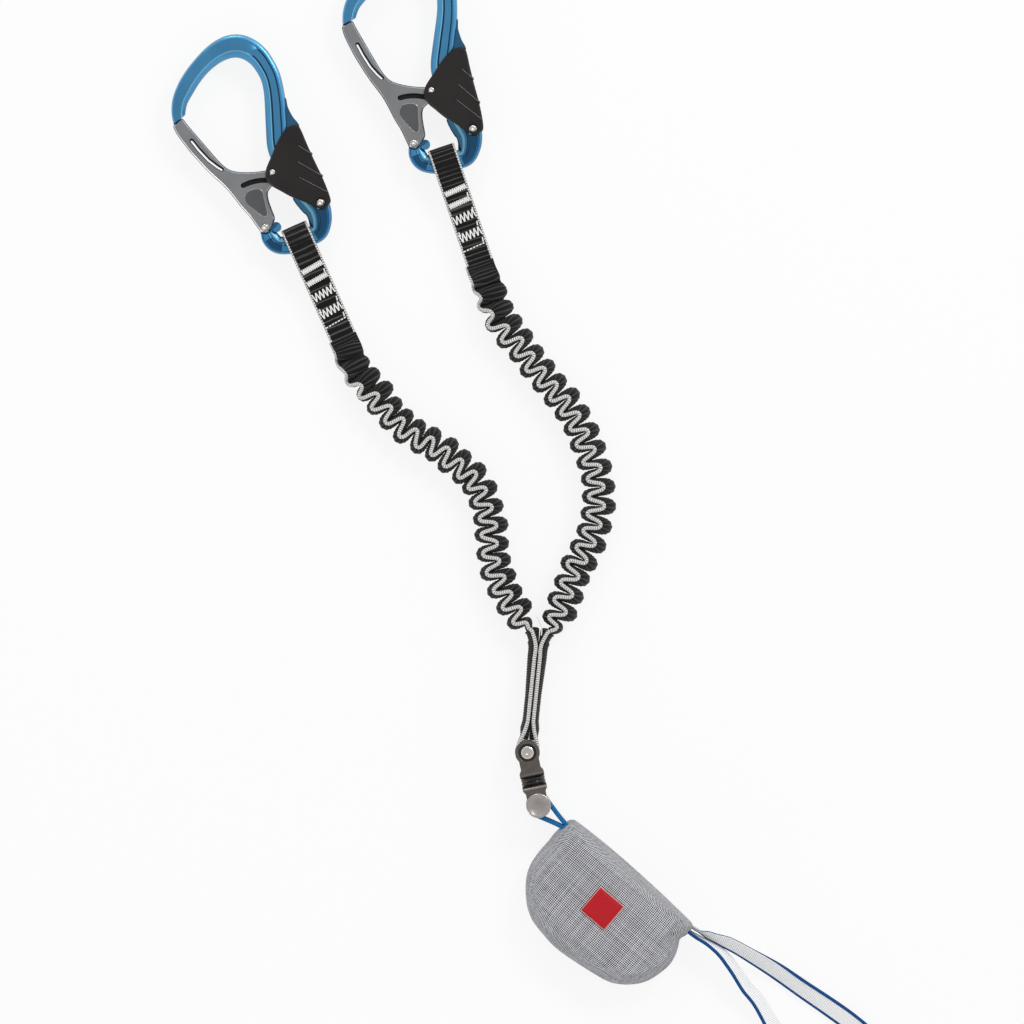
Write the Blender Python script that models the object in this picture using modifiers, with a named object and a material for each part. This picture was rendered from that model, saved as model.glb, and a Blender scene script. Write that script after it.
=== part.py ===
"""Via ferrata lanyard: two pleated elastic arms with palm-lever carabiners, a swivel, an absorber in its pouch
and a tie-in loop. Metres, +Z up. The lanyard lies on its back on the floor, at z = 0. The origin is on the
floor under the swivel's lower pin, and the tie-in end points to +X, -Y."""

import math

import bmesh
import bpy
from mathutils import Matrix, Vector

# Clearances that every piece shares
GAP = 0.0003
CUT_OVERRUN = 0.004
FLOOR_CLEARANCE = 0.0002

# Carabiner: in-plane outlines are shares of its length, seen from the bar that the sewn loop goes round
CARABINER_LENGTH = 0.132
BAR_WIDTH = 0.0134
BAR_THICKNESS = 0.0105
CHANNEL_DEPTH = 0.0009
SLOPE_DROP = 0.0027
OUTER_EDGE_DROP = 0.0012
WEB_THICKNESS = 0.0052
GUSSET_THICKNESS = 0.0052
NOSE_GAP = 0.0004
TONGUE_LENGTH = 0.0026
TONGUE_THICKNESS = 0.0028
KEYLOCK_CLEARANCE = 0.0004
LUG_RADIUS = 0.0034
FORK_REACH = 0.0120
HUMP_RADIUS = 0.0029
BODY_STATION_SHARES = (  # across, along, width, thickness, channel
    (-0.284, 0.655, 0.52, 0.86, 0.0),
    (-0.273, 0.695, 0.54, 0.88, 0.0),
    (-0.261, 0.733, 0.60, 0.92, 0.0),
    (-0.234, 0.777, 0.67, 0.96, 0.0),
    (-0.190, 0.817, 0.76, 1.00, 0.0),
    (-0.142, 0.851, 0.78, 1.00, 0.0),
    (-0.091, 0.878, 0.79, 1.00, 0.0),
    (-0.039, 0.898, 0.85, 1.00, 0.0),
    (0.011, 0.909, 0.92, 1.00, 0.0),
    (0.061, 0.908, 0.98, 1.00, 0.0),
    (0.103, 0.892, 1.00, 1.00, 0.0),
    (0.136, 0.861, 0.97, 1.00, 0.1),
    (0.159, 0.819, 0.93, 1.00, 0.5),
    (0.170, 0.770, 0.89, 1.00, 1.0),
    (0.173, 0.717, 0.87, 1.00, 1.0),
    (0.164, 0.663, 0.87, 1.00, 1.0),
    (0.147, 0.605, 0.91, 0.98, 1.0),
    (0.127, 0.551, 0.94, 0.94, 1.0),
    (0.104, 0.490, 0.94, 0.89, 1.0),
    (0.083, 0.433, 0.94, 0.89, 1.0),
    (0.077, 0.388, 0.95, 0.89, 0.8),
    (0.087, 0.339, 0.97, 0.89, 0.6),
    (0.101, 0.286, 1.01, 0.89, 0.5),
    (0.106, 0.233, 1.12, 0.89, 0.5),
    (0.107, 0.183, 1.22, 0.89, 0.5),
    (0.121, 0.136, 1.26, 0.89, 0.5),
    (0.127, 0.094, 1.13, 0.89, 0.6),
    (0.116, 0.046, 0.99, 0.89, 0.6),
    (0.089, 0.008, 0.84, 0.89, 0.4),
    (0.039, 0.002, 0.79, 0.89, 0.0),
    (0.000, 0.001, 0.79, 0.89, 0.0),
    (-0.047, 0.004, 0.78, 0.89, 0.0),
    (-0.096, 0.026, 0.75, 0.89, 0.4),
    (-0.114, 0.066, 0.75, 0.89, 0.2),
    (-0.115, 0.116, 0.51, 0.89, 0.0),
)
BODY_SECTION_SHARES = (0.21, 0.18, 0.14, -0.22, -0.26, -0.40)  # of the width, from the inner edge outward
GATE_PIVOT_SHARE = (-0.117, 0.119)
LEVER_PIVOT_SHARE = (0.150, 0.119)
LOCK_SHARE = (0.012, 0.326)
HUMP_SHARE = (-0.071, 0.100)
NOSE_JOINT_SHARES = ((-0.360, 0.678), (-0.180, 0.730))
NOSE_FOOT_SHARE = 0.60
TONGUE_SHARES = (-0.298, -0.269)
KEYLOCK_WALL_SHARE = -0.264
GUSSET_SHARES = (
    (0.195, 0.605), (0.189, 0.561), (0.192, 0.513), (0.201, 0.480), (0.196, 0.464), (0.137, 0.463),
    (0.114, 0.498), (0.152, 0.619),
)
SWEEP_ANGLES = (19.5, 75.0)
MOUTH_ANGLES = (22.0, 52.0)

# Gate, and the lock that the lever works
GATE_THICKNESS = 0.0092
GATE_EDGE = 0.0009
GATE_OPENING_ANGLE = 28.0
FORK_SLOT = 0.0060
ARM_END_WALL = 0.0035
GROOVE_WIDTH = 0.0030
GROOVE_DEPTH = 0.0020
GROOVE_RADIUS = 0.0272
GROOVE_ANGLES = (59.0, 93.5)
FORK_ANGLES = (30.0, 93.0)
LUG_SLOT_ANGLES = (-170.0, 38.0)
WEB_RADIUS = 0.0298
WINDOW_WIDTH = 0.0026
POCKET_DEPTH = 0.0005
GATE_SHARES = (
    (-0.306, 0.652), (-0.298, 0.611), (-0.280, 0.541), (-0.245, 0.440), (-0.207, 0.352), (-0.190, 0.295),
    (-0.177, 0.242), (-0.159, 0.186), (-0.148, 0.133), (-0.139, 0.102), (-0.117, 0.091), (-0.095, 0.101),
    (-0.077, 0.119), (-0.061, 0.140), (-0.058, 0.167), (-0.054, 0.220), (-0.042, 0.255), (-0.013, 0.274),
    (0.015, 0.292), (0.035, 0.311), (0.036, 0.334), (0.023, 0.350), (0.003, 0.351), (-0.011, 0.345),
    (-0.080, 0.367), (-0.145, 0.402), (-0.176, 0.446), (-0.203, 0.527), (-0.227, 0.607), (-0.245, 0.667),
)
GATE_NOSE_SHARES = (-0.307, -0.254)
WINDOW_SHARES = ((-0.257, 0.596), (-0.244, 0.547), (-0.224, 0.490), (-0.201, 0.448), (-0.187, 0.428))
POCKET_SHARES = (
    (-0.136, 0.288), (-0.094, 0.293), (-0.063, 0.273), (-0.069, 0.227), (-0.083, 0.165), (-0.105, 0.165),
    (-0.129, 0.206), (-0.150, 0.250),
)
GATE_BORE_RADIUS = 0.0020
GATE_BORE_DEPTH = 0.0172
PLUNGER_RADIUS = 0.0016
PLUNGER_LENGTH = 0.0034
GATE_SPRING_WIRE = 0.0005
GATE_SPRING_RADIUS = 0.00135
GATE_SPRING_TURNS = 4

# Palm lever
LEVER_THICKNESS = 0.0148
LEVER_PLATE = 0.0023
LEVER_WALL = 0.0014
LEVER_EDGE = 0.0011
LEVER_SHARES = (
    (0.120, 0.464), (0.158, 0.479), (0.194, 0.473), (0.201, 0.448), (0.200, 0.384), (0.200, 0.320),
    (0.203, 0.220), (0.198, 0.126), (0.184, 0.099), (0.155, 0.087), (0.128, 0.103), (0.088, 0.148),
    (0.044, 0.195), (0.008, 0.242), (-0.017, 0.276), (-0.027, 0.308), (-0.018, 0.333), (-0.002, 0.357),
    (0.039, 0.395), (0.073, 0.428),
)
PALM_WALL_SHARES = ((0.201, 0.451), (0.200, 0.384), (0.200, 0.320), (0.203, 0.220), (0.203, 0.208))
RIDGE_SHARES = (
    ((0.155, 0.397), (0.200, 0.332)), ((0.123, 0.335), (0.203, 0.225)), ((0.100, 0.270), (0.196, 0.150)),
)
RIDGE_WIDTH = 0.0011
RIDGE_HEIGHT = 0.0004
RIVET_RADIUS = 0.0019
RIVET_PROUD = 0.0003
RIVET_RECESS_RADIUS = 0.0033
RIVET_RECESS_DEPTH = 0.0005
LOCK_STUD_RADIUS = 0.0016
LEVER_SPRING_WIRE = 0.0008
LEVER_SPRING_RADIUS = 0.0036
LEVER_SPRING_PITCH = 0.0013
LEVER_SPRING_TURNS = 2
SPRING_POINTS_A_TURN = 8

# Webbing of the arms: sewn end loops, pleated tubes and the stem
WEBBING_WIDTH = 0.016
WEBBING_THICKNESS = 0.0018
LOOP_OUTER_RADIUS = 0.0100
SEWN_LENGTH = 0.061
LOOP_NECK = 0.026
LOOP_CROTCH = 0.022
SEAM_THICKNESS = 0.0039
LEFT_PLEATS = 20
RIGHT_PLEATS = 22
PLEAT_EDGE_SWING = 0.0045
PLEAT_BELLY_SWING = 0.0076
PLEAT_LEAN = 0.0015
PLEAT_FULLNESS_SHARE = 0.36
PLEAT_EDGE_FULLNESS_SHARE = 0.08
FACE_UP_SWING_SHARE = 0.45
PLEAT_FLATNESS_SHARE = 0.05
PLEAT_EDGE_THICKNESS = 0.0022
PLEAT_BELLY_THICKNESS = 0.0045
POINTS_A_PLEAT = 8
ARM_TWIST_LENGTH = 0.056
ARM_GATHER_LENGTH = 0.012
ARM_END_LENGTH = 0.010
ARM_LEAD_LENGTH = 0.006
CROTCH_LEAD_LENGTH = 0.004
STEM_SPREAD = 0.0019
STEM_EDGE_THICKNESS = 0.0024
STEM_BELLY_OUT = 0.0042
STEM_BELLY_IN = 0.0013
STEM_FLARE = 0.0042
STEM_FLARE_LENGTH = 0.0050
STEM_FLARE_ANGLE = 42.0
CROTCH = (0.0004, 0.0965)
LEFT_EYE = (-0.1381, 0.3270)
RIGHT_EYE = (-0.0535, 0.3724)
LEFT_CARABINER_ANGLE = 23.9
RIGHT_CARABINER_ANGLE = 13.5
LEFT_LOOP_ANGLE = 24.0
RIGHT_LOOP_ANGLE = 18.7
LEFT_ARM_ROUTE = (
    (-0.1062, 0.2540), (-0.0943, 0.2393), (-0.0836, 0.2250), (-0.0723, 0.2153),
    (-0.0597, 0.2087), (-0.0490, 0.2000), (-0.0378, 0.1901), (-0.0316, 0.1782), (-0.0274, 0.1622),
    (-0.0266, 0.1477), (-0.0238, 0.1346), (-0.0184, 0.1222), (-0.0120, 0.1115),
)
RIGHT_ARM_ROUTE = (
    (-0.0276, 0.2976), (-0.0235, 0.2857), (-0.0166, 0.2748), (-0.0071, 0.2624), (0.0014, 0.2509),
    (0.0106, 0.2401), (0.0187, 0.2294), (0.0247, 0.2187), (0.0287, 0.2079), (0.0326, 0.1979),
    (0.0348, 0.1848), (0.0347, 0.1701), (0.0316, 0.1575), (0.0270, 0.1464), (0.0218, 0.1368),
    (0.0180, 0.1260), (0.0135, 0.1140),
)

# Swivel
SWIVEL_ANGLE = 11.776
CLEVIS_GAP = 0.0168
CLEVIS_PLATE = 0.0020
CLEVIS_EAR_RADIUS = 0.0072
CLEVIS_NECK = 0.0116
CLEVIS_WIDTH = 0.0142
CLEVIS_BEND = 0.0030
CLEVIS_BASE = 0.0025
LOWER_BASE_REACH = 0.0121
UPPER_BASE_REACH = 0.0144
PIN_RADIUS = 0.0030
PIN_CLEARANCE = 0.0003
PIN_HEAD = 0.0010
PIN_CHAMFER = 0.0004
UPPER_HEAD_RADIUS = 0.0038
UPPER_RECESS_RADIUS = 0.0052
UPPER_RECESS_DEPTH = 0.0005
BUSH_WALL = 0.0009
WRAP_GAP = 0.0005
ARM_GAP = 0.0009
SWIVEL_RIVET_RADIUS = 0.0022
SWIVEL_RIVET_HEAD_RADIUS = 0.0038
SWIVEL_RIVET_HEAD = 0.0014
WASHER_RADIUS = 0.0070
WASHER_THICKNESS = 0.00198
WASHER_HOLE_CLEARANCE = 0.0004

# Absorber, pouch and tie-in loop
ABSORBER_WIDTH = 0.0160
ABSORBER_THICKNESS = 0.0022
ABSORBER_APEX = (0.0143, -0.0112)
ABSORBER_TAIL = 0.0200
POUCH_CORNER = (0.0217, -0.0078)
POUCH_ANGLE = -40.4
POUCH_LENGTH = 0.0923
POUCH_THICKNESS = 0.0260
POUCH_WALL = 0.0012
POUCH_SHARES = (  # along the straight edge, and across from it, as shares of the edge's length
    (-0.048, 0.030), (-0.036, 0.006), (0.000, 0.000), (0.200, -0.003), (0.400, -0.004), (0.600, -0.004),
    (0.800, -0.003), (1.000, 0.000), (1.020, 0.046), (1.028, 0.092), (1.010, 0.140), (1.040, 0.190),
    (1.068, 0.280), (1.068, 0.359), (1.024, 0.496), (0.951, 0.588), (0.839, 0.660), (0.698, 0.685),
    (0.572, 0.700), (0.420, 0.713), (0.278, 0.695), (0.174, 0.668), (0.077, 0.600), (-0.009, 0.499),
    (-0.048, 0.406), (-0.054, 0.307), (-0.048, 0.212), (-0.056, 0.130),
)
POUCH_CENTRE_SHARE = (0.50, 0.30)
POUCH_LEVEL_SHARES = (
    (0.000, 0.800), (0.045, 0.905), (0.180, 0.970), (0.500, 1.000), (0.820, 0.970), (0.955, 0.905), (1.000, 0.800),
)
POUCH_LINING_SHARE = 0.965
MOUTH_WIDTH = 0.0070
PATCH_SIDE = 0.0180
PATCH_THICKNESS = 0.0008
PATCH_CENTRE_SHARE = (0.487, 0.318)
PACK_THICKNESS = 0.0026
PACK_PITCH = 0.0038
PACK_START_SHARE = 0.235
PACK_RUN_SHARES = (
    (0.12, 0.88), (0.12, 0.89), (0.12, 0.90), (0.12, 0.89), (0.13, 0.87), (0.15, 0.86),
    (0.19, 0.83), (0.22, 0.78),
)
TIE_WIDTH = 0.0120
TIE_THICKNESS = 0.0016
TIE_ROUTE = (  # from the pouch along the upper strand, round the far bend and back along the lower strand
    (0.0835, -0.0655), (0.0908, -0.0717), (0.1000, -0.0757), (0.1111, -0.0803), (0.1210, -0.0858),
    (0.1372, -0.0957), (0.1529, -0.1067), (0.1691, -0.1177), (0.1819, -0.1270), (0.1960, -0.1390),
    (0.2110, -0.1530), (0.2240, -0.1680), (0.2330, -0.1840), (0.2370, -0.2000), (0.2340, -0.2140),
    (0.2240, -0.2240), (0.2100, -0.2270), (0.1960, -0.2220), (0.1840, -0.2110), (0.1750, -0.1970),
    (0.1670, -0.1820), (0.1580, -0.1660), (0.1490, -0.1500), (0.1410, -0.1370), (0.1378, -0.1310),
    (0.1282, -0.1142), (0.1210, -0.1055), (0.1143, -0.0956), (0.1076, -0.0869), (0.1000, -0.0810),
    (0.0888, -0.0742), (0.0812, -0.0682),
)
TIE_ROLL_SHARES = (  # 1 is on edge and 2 is flat
    (0.00, 1.00), (0.024, 1.03), (0.042, 1.28), (0.070, 1.48), (0.15, 1.66), (0.25, 1.80), (0.40, 2.00),
    (0.60, 2.00), (0.70, 1.80), (0.80, 1.62), (0.856, 1.51), (0.916, 1.36), (0.965, 1.10), (1.00, 1.00),
)
TIE_REST_SHARES = ((0.00, 1.0), (0.04, 0.9), (0.16, 0.0), (0.84, 0.0), (0.96, 0.9), (1.00, 1.0))

ROUND_STEPS = 16
CURVE_STEPS = 3
LEAST_TURN = 9.0

LOOP_HEIGHT = LOOP_OUTER_RADIUS + FLOOR_CLEARANCE
ARM_HEIGHT = WEBBING_WIDTH / 2 + FLOOR_CLEARANCE
SWIVEL_HEIGHT = CLEVIS_GAP / 2 + CLEVIS_PLATE + GAP + PIN_HEAD
SWIVEL_SPAN = LOWER_BASE_REACH + UPPER_BASE_REACH + 2 * WASHER_THICKNESS + 3 * GAP
UPPER_PIN = (
    -SWIVEL_SPAN * math.sin(math.radians(SWIVEL_ANGLE)), SWIVEL_SPAN * math.cos(math.radians(SWIVEL_ANGLE)),
)
LEVER_HALF = LEVER_THICKNESS / 2
LEVER_SLOT_HALF = LEVER_HALF - LEVER_PLATE
BUSH_RADIUS = PIN_RADIUS + PIN_CLEARANCE + BUSH_WALL


def clear_scene():
    for obj in list(bpy.data.objects):
        bpy.data.objects.remove(obj, do_unlink=True)


def new_collection(name):
    collection = bpy.data.collections.new(name)
    bpy.context.scene.collection.children.link(collection)
    return collection


clear_scene()
PARTS = new_collection("via_ferrata_lanyard")
CUTTERS = new_collection("cutters")


def material(name, colour, roughness, metallic=0.0):
    made = bpy.data.materials.new(name)
    made.use_nodes = True
    shader = made.node_tree.nodes["Principled BSDF"]
    shader.inputs["Base Color"].default_value = (*colour, 1.0)
    shader.inputs["Roughness"].default_value = roughness
    shader.inputs["Metallic"].default_value = metallic
    return made


BLUE_ALUMINIUM = material("blue_anodised_aluminium", (0.03, 0.22, 0.47), 0.28, 0.9)
GREY_ALUMINIUM = material("grey_anodised_aluminium", (0.10, 0.10, 0.11), 0.35, 0.9)
BLACK_PLASTIC = material("black_nylon", (0.02, 0.018, 0.018), 0.5)
BRIGHT_STEEL = material("bright_steel", (0.75, 0.74, 0.72), 0.22, 1.0)
BRUSHED_STEEL = material("brushed_steel", (0.42, 0.39, 0.36), 0.35, 1.0)
SPRING_STEEL = material("spring_steel", (0.5, 0.5, 0.5), 0.3, 1.0)
BRASS_BUSH = material("bearing_bush", (0.30, 0.28, 0.25), 0.4, 0.6)
BLACK_WEBBING = material("black_webbing", (0.018, 0.018, 0.02), 0.85)
WHITE_WEBBING = material("white_webbing", (0.75, 0.78, 0.82), 0.8)
POUCH_FABRIC = material("grey_pouch_fabric", (0.25, 0.27, 0.31), 0.9)
PATCH_FABRIC = material("red_patch", (0.60, 0.015, 0.02), 0.7)


def frame(name, location, angle, parent=None):
    """An empty that carries the pieces placed in its frame."""
    empty = bpy.data.objects.new(name, None)
    PARTS.objects.link(empty)
    empty.location = location
    empty.rotation_euler = (0, 0, math.radians(angle))
    empty.parent = parent
    return empty


def piece(name, mesh, paint, parent, smooth_angle=35.0):
    """A sub-part: a named object with its own material, in its frame."""
    obj = bpy.data.objects.new(name, mesh)
    PARTS.objects.link(obj)
    obj.parent = parent
    mesh.materials.clear()
    mesh.materials.append(paint)
    mesh.shade_smooth()
    mesh.set_sharp_from_angle(angle=math.radians(smooth_angle))
    return obj


def evaluated_mesh(obj):
    """The object's mesh with its modifiers applied, in the object's own space, and the object removed."""
    bpy.context.view_layer.update()
    depsgraph = bpy.context.evaluated_depsgraph_get()
    mesh = bpy.data.meshes.new_from_object(obj.evaluated_get(depsgraph))
    bpy.data.objects.remove(obj, do_unlink=True)
    return mesh


def weld(mesh, flat_caps=False):
    work = bmesh.new()
    work.from_mesh(mesh)
    bmesh.ops.remove_doubles(work, verts=work.verts, dist=1e-6)
    if flat_caps:
        bmesh.ops.dissolve_limit(work, angle_limit=math.radians(0.2), verts=work.verts, edges=work.edges)
    bmesh.ops.recalc_face_normals(work, faces=work.faces)
    work.to_mesh(mesh)
    work.free()
    return mesh


def outline_solid(loops, bottom, top, turn=None):
    """A flat outline, with any inner outlines as holes, extruded from bottom to top."""
    curve = bpy.data.curves.new("outline", "CURVE")
    curve.dimensions = "2D"
    curve.fill_mode = "BOTH"
    curve.extrude = (top - bottom) / 2
    for points in loops:
        spline = curve.splines.new("POLY")
        spline.points.add(len(points) - 1)
        for point, (x, y) in zip(spline.points, points):
            point.co = (x, y, 0, 1)
        spline.use_cyclic_u = True
    obj = bpy.data.objects.new("outline", curve)
    CUTTERS.objects.link(obj)
    mesh = weld(evaluated_mesh(obj), flat_caps=True)
    mesh.transform(Matrix.Translation((0, 0, (top + bottom) / 2)))
    if turn is not None:
        mesh.transform(turn)
    return mesh


def loft(rings):
    """A closed skin over rings of equal count, with flat caps at both ends."""
    count = len(rings[0])
    work = bmesh.new()
    rows = [[work.verts.new(point) for point in ring] for ring in rings]
    for row, following in zip(rows, rows[1:]):
        for i in range(count):
            j = (i + 1) % count
            work.faces.new((row[i], row[j], following[j], following[i]))
    work.faces.new(rows[0])
    work.faces.new(rows[-1])
    bmesh.ops.recalc_face_normals(work, faces=work.faces)
    mesh = bpy.data.meshes.new("loft")
    work.to_mesh(mesh)
    work.free()
    return mesh


def cylinder(radius, bottom, top, centre=(0, 0), turn=None, steps=ROUND_STEPS):
    work = bmesh.new()
    bmesh.ops.create_cone(work, cap_ends=True, segments=steps, radius1=radius, radius2=radius, depth=top - bottom)
    mesh = bpy.data.meshes.new("cylinder")
    work.to_mesh(mesh)
    work.free()
    mesh.transform(Matrix.Translation((centre[0], centre[1], (top + bottom) / 2)))
    if turn is not None:
        mesh.transform(turn)
    return mesh


def turned(profile, closed=False, steps=ROUND_STEPS):
    """A profile of radius and height, top to bottom, turned about Z with a Screw modifier."""
    mesh = bpy.data.meshes.new("profile")
    count = len(profile)
    edges = [(i, i + 1) for i in range(count - 1)] + ([(count - 1, 0)] if closed else [])
    mesh.from_pydata([(radius, 0, height) for radius, height in profile], edges, [])
    obj = bpy.data.objects.new("profile", mesh)
    CUTTERS.objects.link(obj)
    screw = obj.modifiers.new("turn", "SCREW")
    screw.steps = steps
    screw.render_steps = steps
    screw.use_merge_vertices = True
    screw.merge_threshold = 1e-6
    return weld(evaluated_mesh(obj))


def shaped(base, steps, bevel=None):
    """The base mesh after Boolean steps: a list of ("UNION" or "DIFFERENCE" or "INTERSECT", mesh)."""
    obj = bpy.data.objects.new("base", base)
    CUTTERS.objects.link(obj)
    if bevel:
        edge = obj.modifiers.new("edge", "BEVEL")
        edge.width = bevel
        edge.segments = 1
        edge.limit_method = "ANGLE"
        edge.angle_limit = math.radians(50)
        edge.use_clamp_overlap = False
    tools = []
    for operation, mesh in steps:
        tool = bpy.data.objects.new("cutter", mesh)
        CUTTERS.objects.link(tool)
        tool.hide_render = True
        tool.display_type = "WIRE"
        tools.append(tool)
        boolean = obj.modifiers.new(operation.lower(), "BOOLEAN")
        boolean.operation = operation
        boolean.solver = "EXACT"
        boolean.object = tool
    mesh = evaluated_mesh(obj)
    for tool in tools:
        bpy.data.objects.remove(tool, do_unlink=True)
    return mesh


def smooth(points, steps=CURVE_STEPS, closed=False):
    """Points on a Catmull-Rom curve through the given ones."""
    points = [Vector(p) for p in points]
    count = len(points)
    if closed:
        padded = [points[-1], *points, points[0], points[1]]
        runs = count
    else:
        padded = [2 * points[0] - points[1], *points, 2 * points[-1] - points[-2]]
        runs = count - 1
    found = []
    for i in range(runs):
        a, b, c, d = padded[i:i + 4]
        for k in range(steps):
            t = k / steps
            found.append(
                0.5 * (2 * b + (c - a) * t + (2 * a - 5 * b + 4 * c - d) * t ** 2 + (3 * b - a - 3 * c + d) * t ** 3)
            )
    if not closed:
        found.append(points[-1])
    return found


def thinned(points, closed=False):
    """The points of a smooth line that its turns need, with the ends kept."""
    kept = [points[0]]
    turned_by = 0.0
    for before, point, after in zip(points, points[1:], points[2:]):
        first = Vector((point[0] - before[0], point[1] - before[1]))
        second = Vector((after[0] - point[0], after[1] - point[1]))
        turned_by += abs(math.degrees(first.angle_signed(second)))
        if turned_by >= LEAST_TURN:
            kept.append(point)
            turned_by = 0.0
    if not closed:
        kept.append(points[-1])
    return kept


def rounded_outline(shares):
    """A closed smooth outline in the carabiner's plane, from shares of its length."""
    return [(p[0], p[1]) for p in thinned(smooth([at(s) for s in shares], closed=True), closed=True)]


def along(shares, share):
    """The value at a share of the way, from a table of (share, value) pairs."""
    for (a, first), (b, second) in zip(shares, shares[1:]):
        if share <= b:
            mix = (share - a) / (b - a)
            mix = mix * mix * (3 - 2 * mix)
            return first + (second - first) * mix
    return shares[-1][1]


def arc(centre, radius, start, end, steps=8):
    return [
        (centre[0] + radius * math.cos(a), centre[1] + radius * math.sin(a))
        for a in (math.radians(start + (end - start) * k / steps) for k in range(steps + 1))
    ]


def sector(centre, inner, outer, start, end, bottom, top):
    """A slice of a ring, or of a disc where inner is zero."""
    steps = max(2, round(abs(end - start) / 6))
    inside = arc(centre, inner, end, start, steps) if inner else [tuple(centre)]
    return outline_solid([arc(centre, outer, start, end, steps) + inside], bottom, top)


def at(share):
    """A place in the carabiner's plane, from its share of the carabiner's length."""
    return (share[0] * CARABINER_LENGTH, share[1] * CARABINER_LENGTH)


GATE_PIVOT = at(GATE_PIVOT_SHARE)
LEVER_PIVOT = at(LEVER_PIVOT_SHARE)
LOCK_POINT = at(LOCK_SHARE)
LOCK_RADIUS = math.dist(GATE_PIVOT, LOCK_POINT)
LOCK_ANGLE = math.degrees(math.atan2(LOCK_POINT[1] - GATE_PIVOT[1], LOCK_POINT[0] - GATE_PIVOT[0]))
ARM_REACH = LOCK_RADIUS + ARM_END_WALL + 3 * GAP


def nose_line(x, drop=0.0):
    """Height of the slanted joint between nose and gate at x, or a line parallel to it."""
    (x0, y0), (x1, y1) = (at(s) for s in NOSE_JOINT_SHARES)
    return y0 + (y1 - y0) * (x - x0) / (x1 - x0) - drop


def body_rings():
    """Sections of the forged bar, from the nose over the basket and down the spine to the gate's lug."""
    rings = []
    stations = thinned(smooth(sized_stations()))
    for i, (x, y, width, thickness, channel) in enumerate(stations):
        before = stations[max(i - 1, 0)]
        after = stations[min(i + 1, len(stations) - 1)]
        run = Vector((after[0] - before[0], after[1] - before[1])).normalized()
        inward = Vector((run[1], -run[0]))
        half = thickness / 2
        slope, lip_in, floor_in, floor_out, lip_out, edge = (s * width for s in BODY_SECTION_SHARES)
        upper = (
            (width / 2, half - SLOPE_DROP),
            (slope, half),
            (lip_in, half),
            (floor_in, half - channel),
            (floor_out, half - channel),
            (lip_out, half),
            (edge, half),
            (-width / 2, half - OUTER_EDGE_DROP),
        )
        section = [*upper, *((a, -z) for a, z in reversed(upper))]
        rings.append([(x + inward[0] * a, y + inward[1] * a, z) for a, z in section])
    return rings


def sized_stations():
    return [
        (*at((across, lengthways)), width * BAR_WIDTH, thickness * BAR_THICKNESS, channel * CHANNEL_DEPTH)
        for across, lengthways, width, thickness, channel in BODY_STATION_SHARES
    ]


def fork_room(bottom, top):
    """The room that the gate's forked foot sweeps as the gate opens."""
    pivot = Vector(GATE_PIVOT)
    foot = [Vector(at(s)) - pivot for s in GATE_SHARES if math.dist(at(s), GATE_PIVOT) < FORK_REACH]
    work = bmesh.new()
    for share in (0.0, 0.5, 1.0):
        turn = Matrix.Rotation(math.radians(-GATE_OPENING_ANGLE * share), 2)
        for point in foot:
            x, y = turn @ (point * (1 + 2 * GAP / point.length)) + pivot
            for z in (bottom, top):
                work.verts.new((x, y, z))
    hull = bmesh.ops.convex_hull(work, input=work.verts)
    inside = {v for v in hull["geom_interior"] + hull["geom_unused"] if isinstance(v, bmesh.types.BMVert)}
    bmesh.ops.delete(work, geom=list(inside), context="VERTS")
    bmesh.ops.dissolve_limit(work, angle_limit=math.radians(1), verts=work.verts, edges=work.edges)
    bmesh.ops.recalc_face_normals(work, faces=work.faces)
    mesh = bpy.data.meshes.new("fork_room")
    work.to_mesh(mesh)
    work.free()
    return mesh


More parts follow.
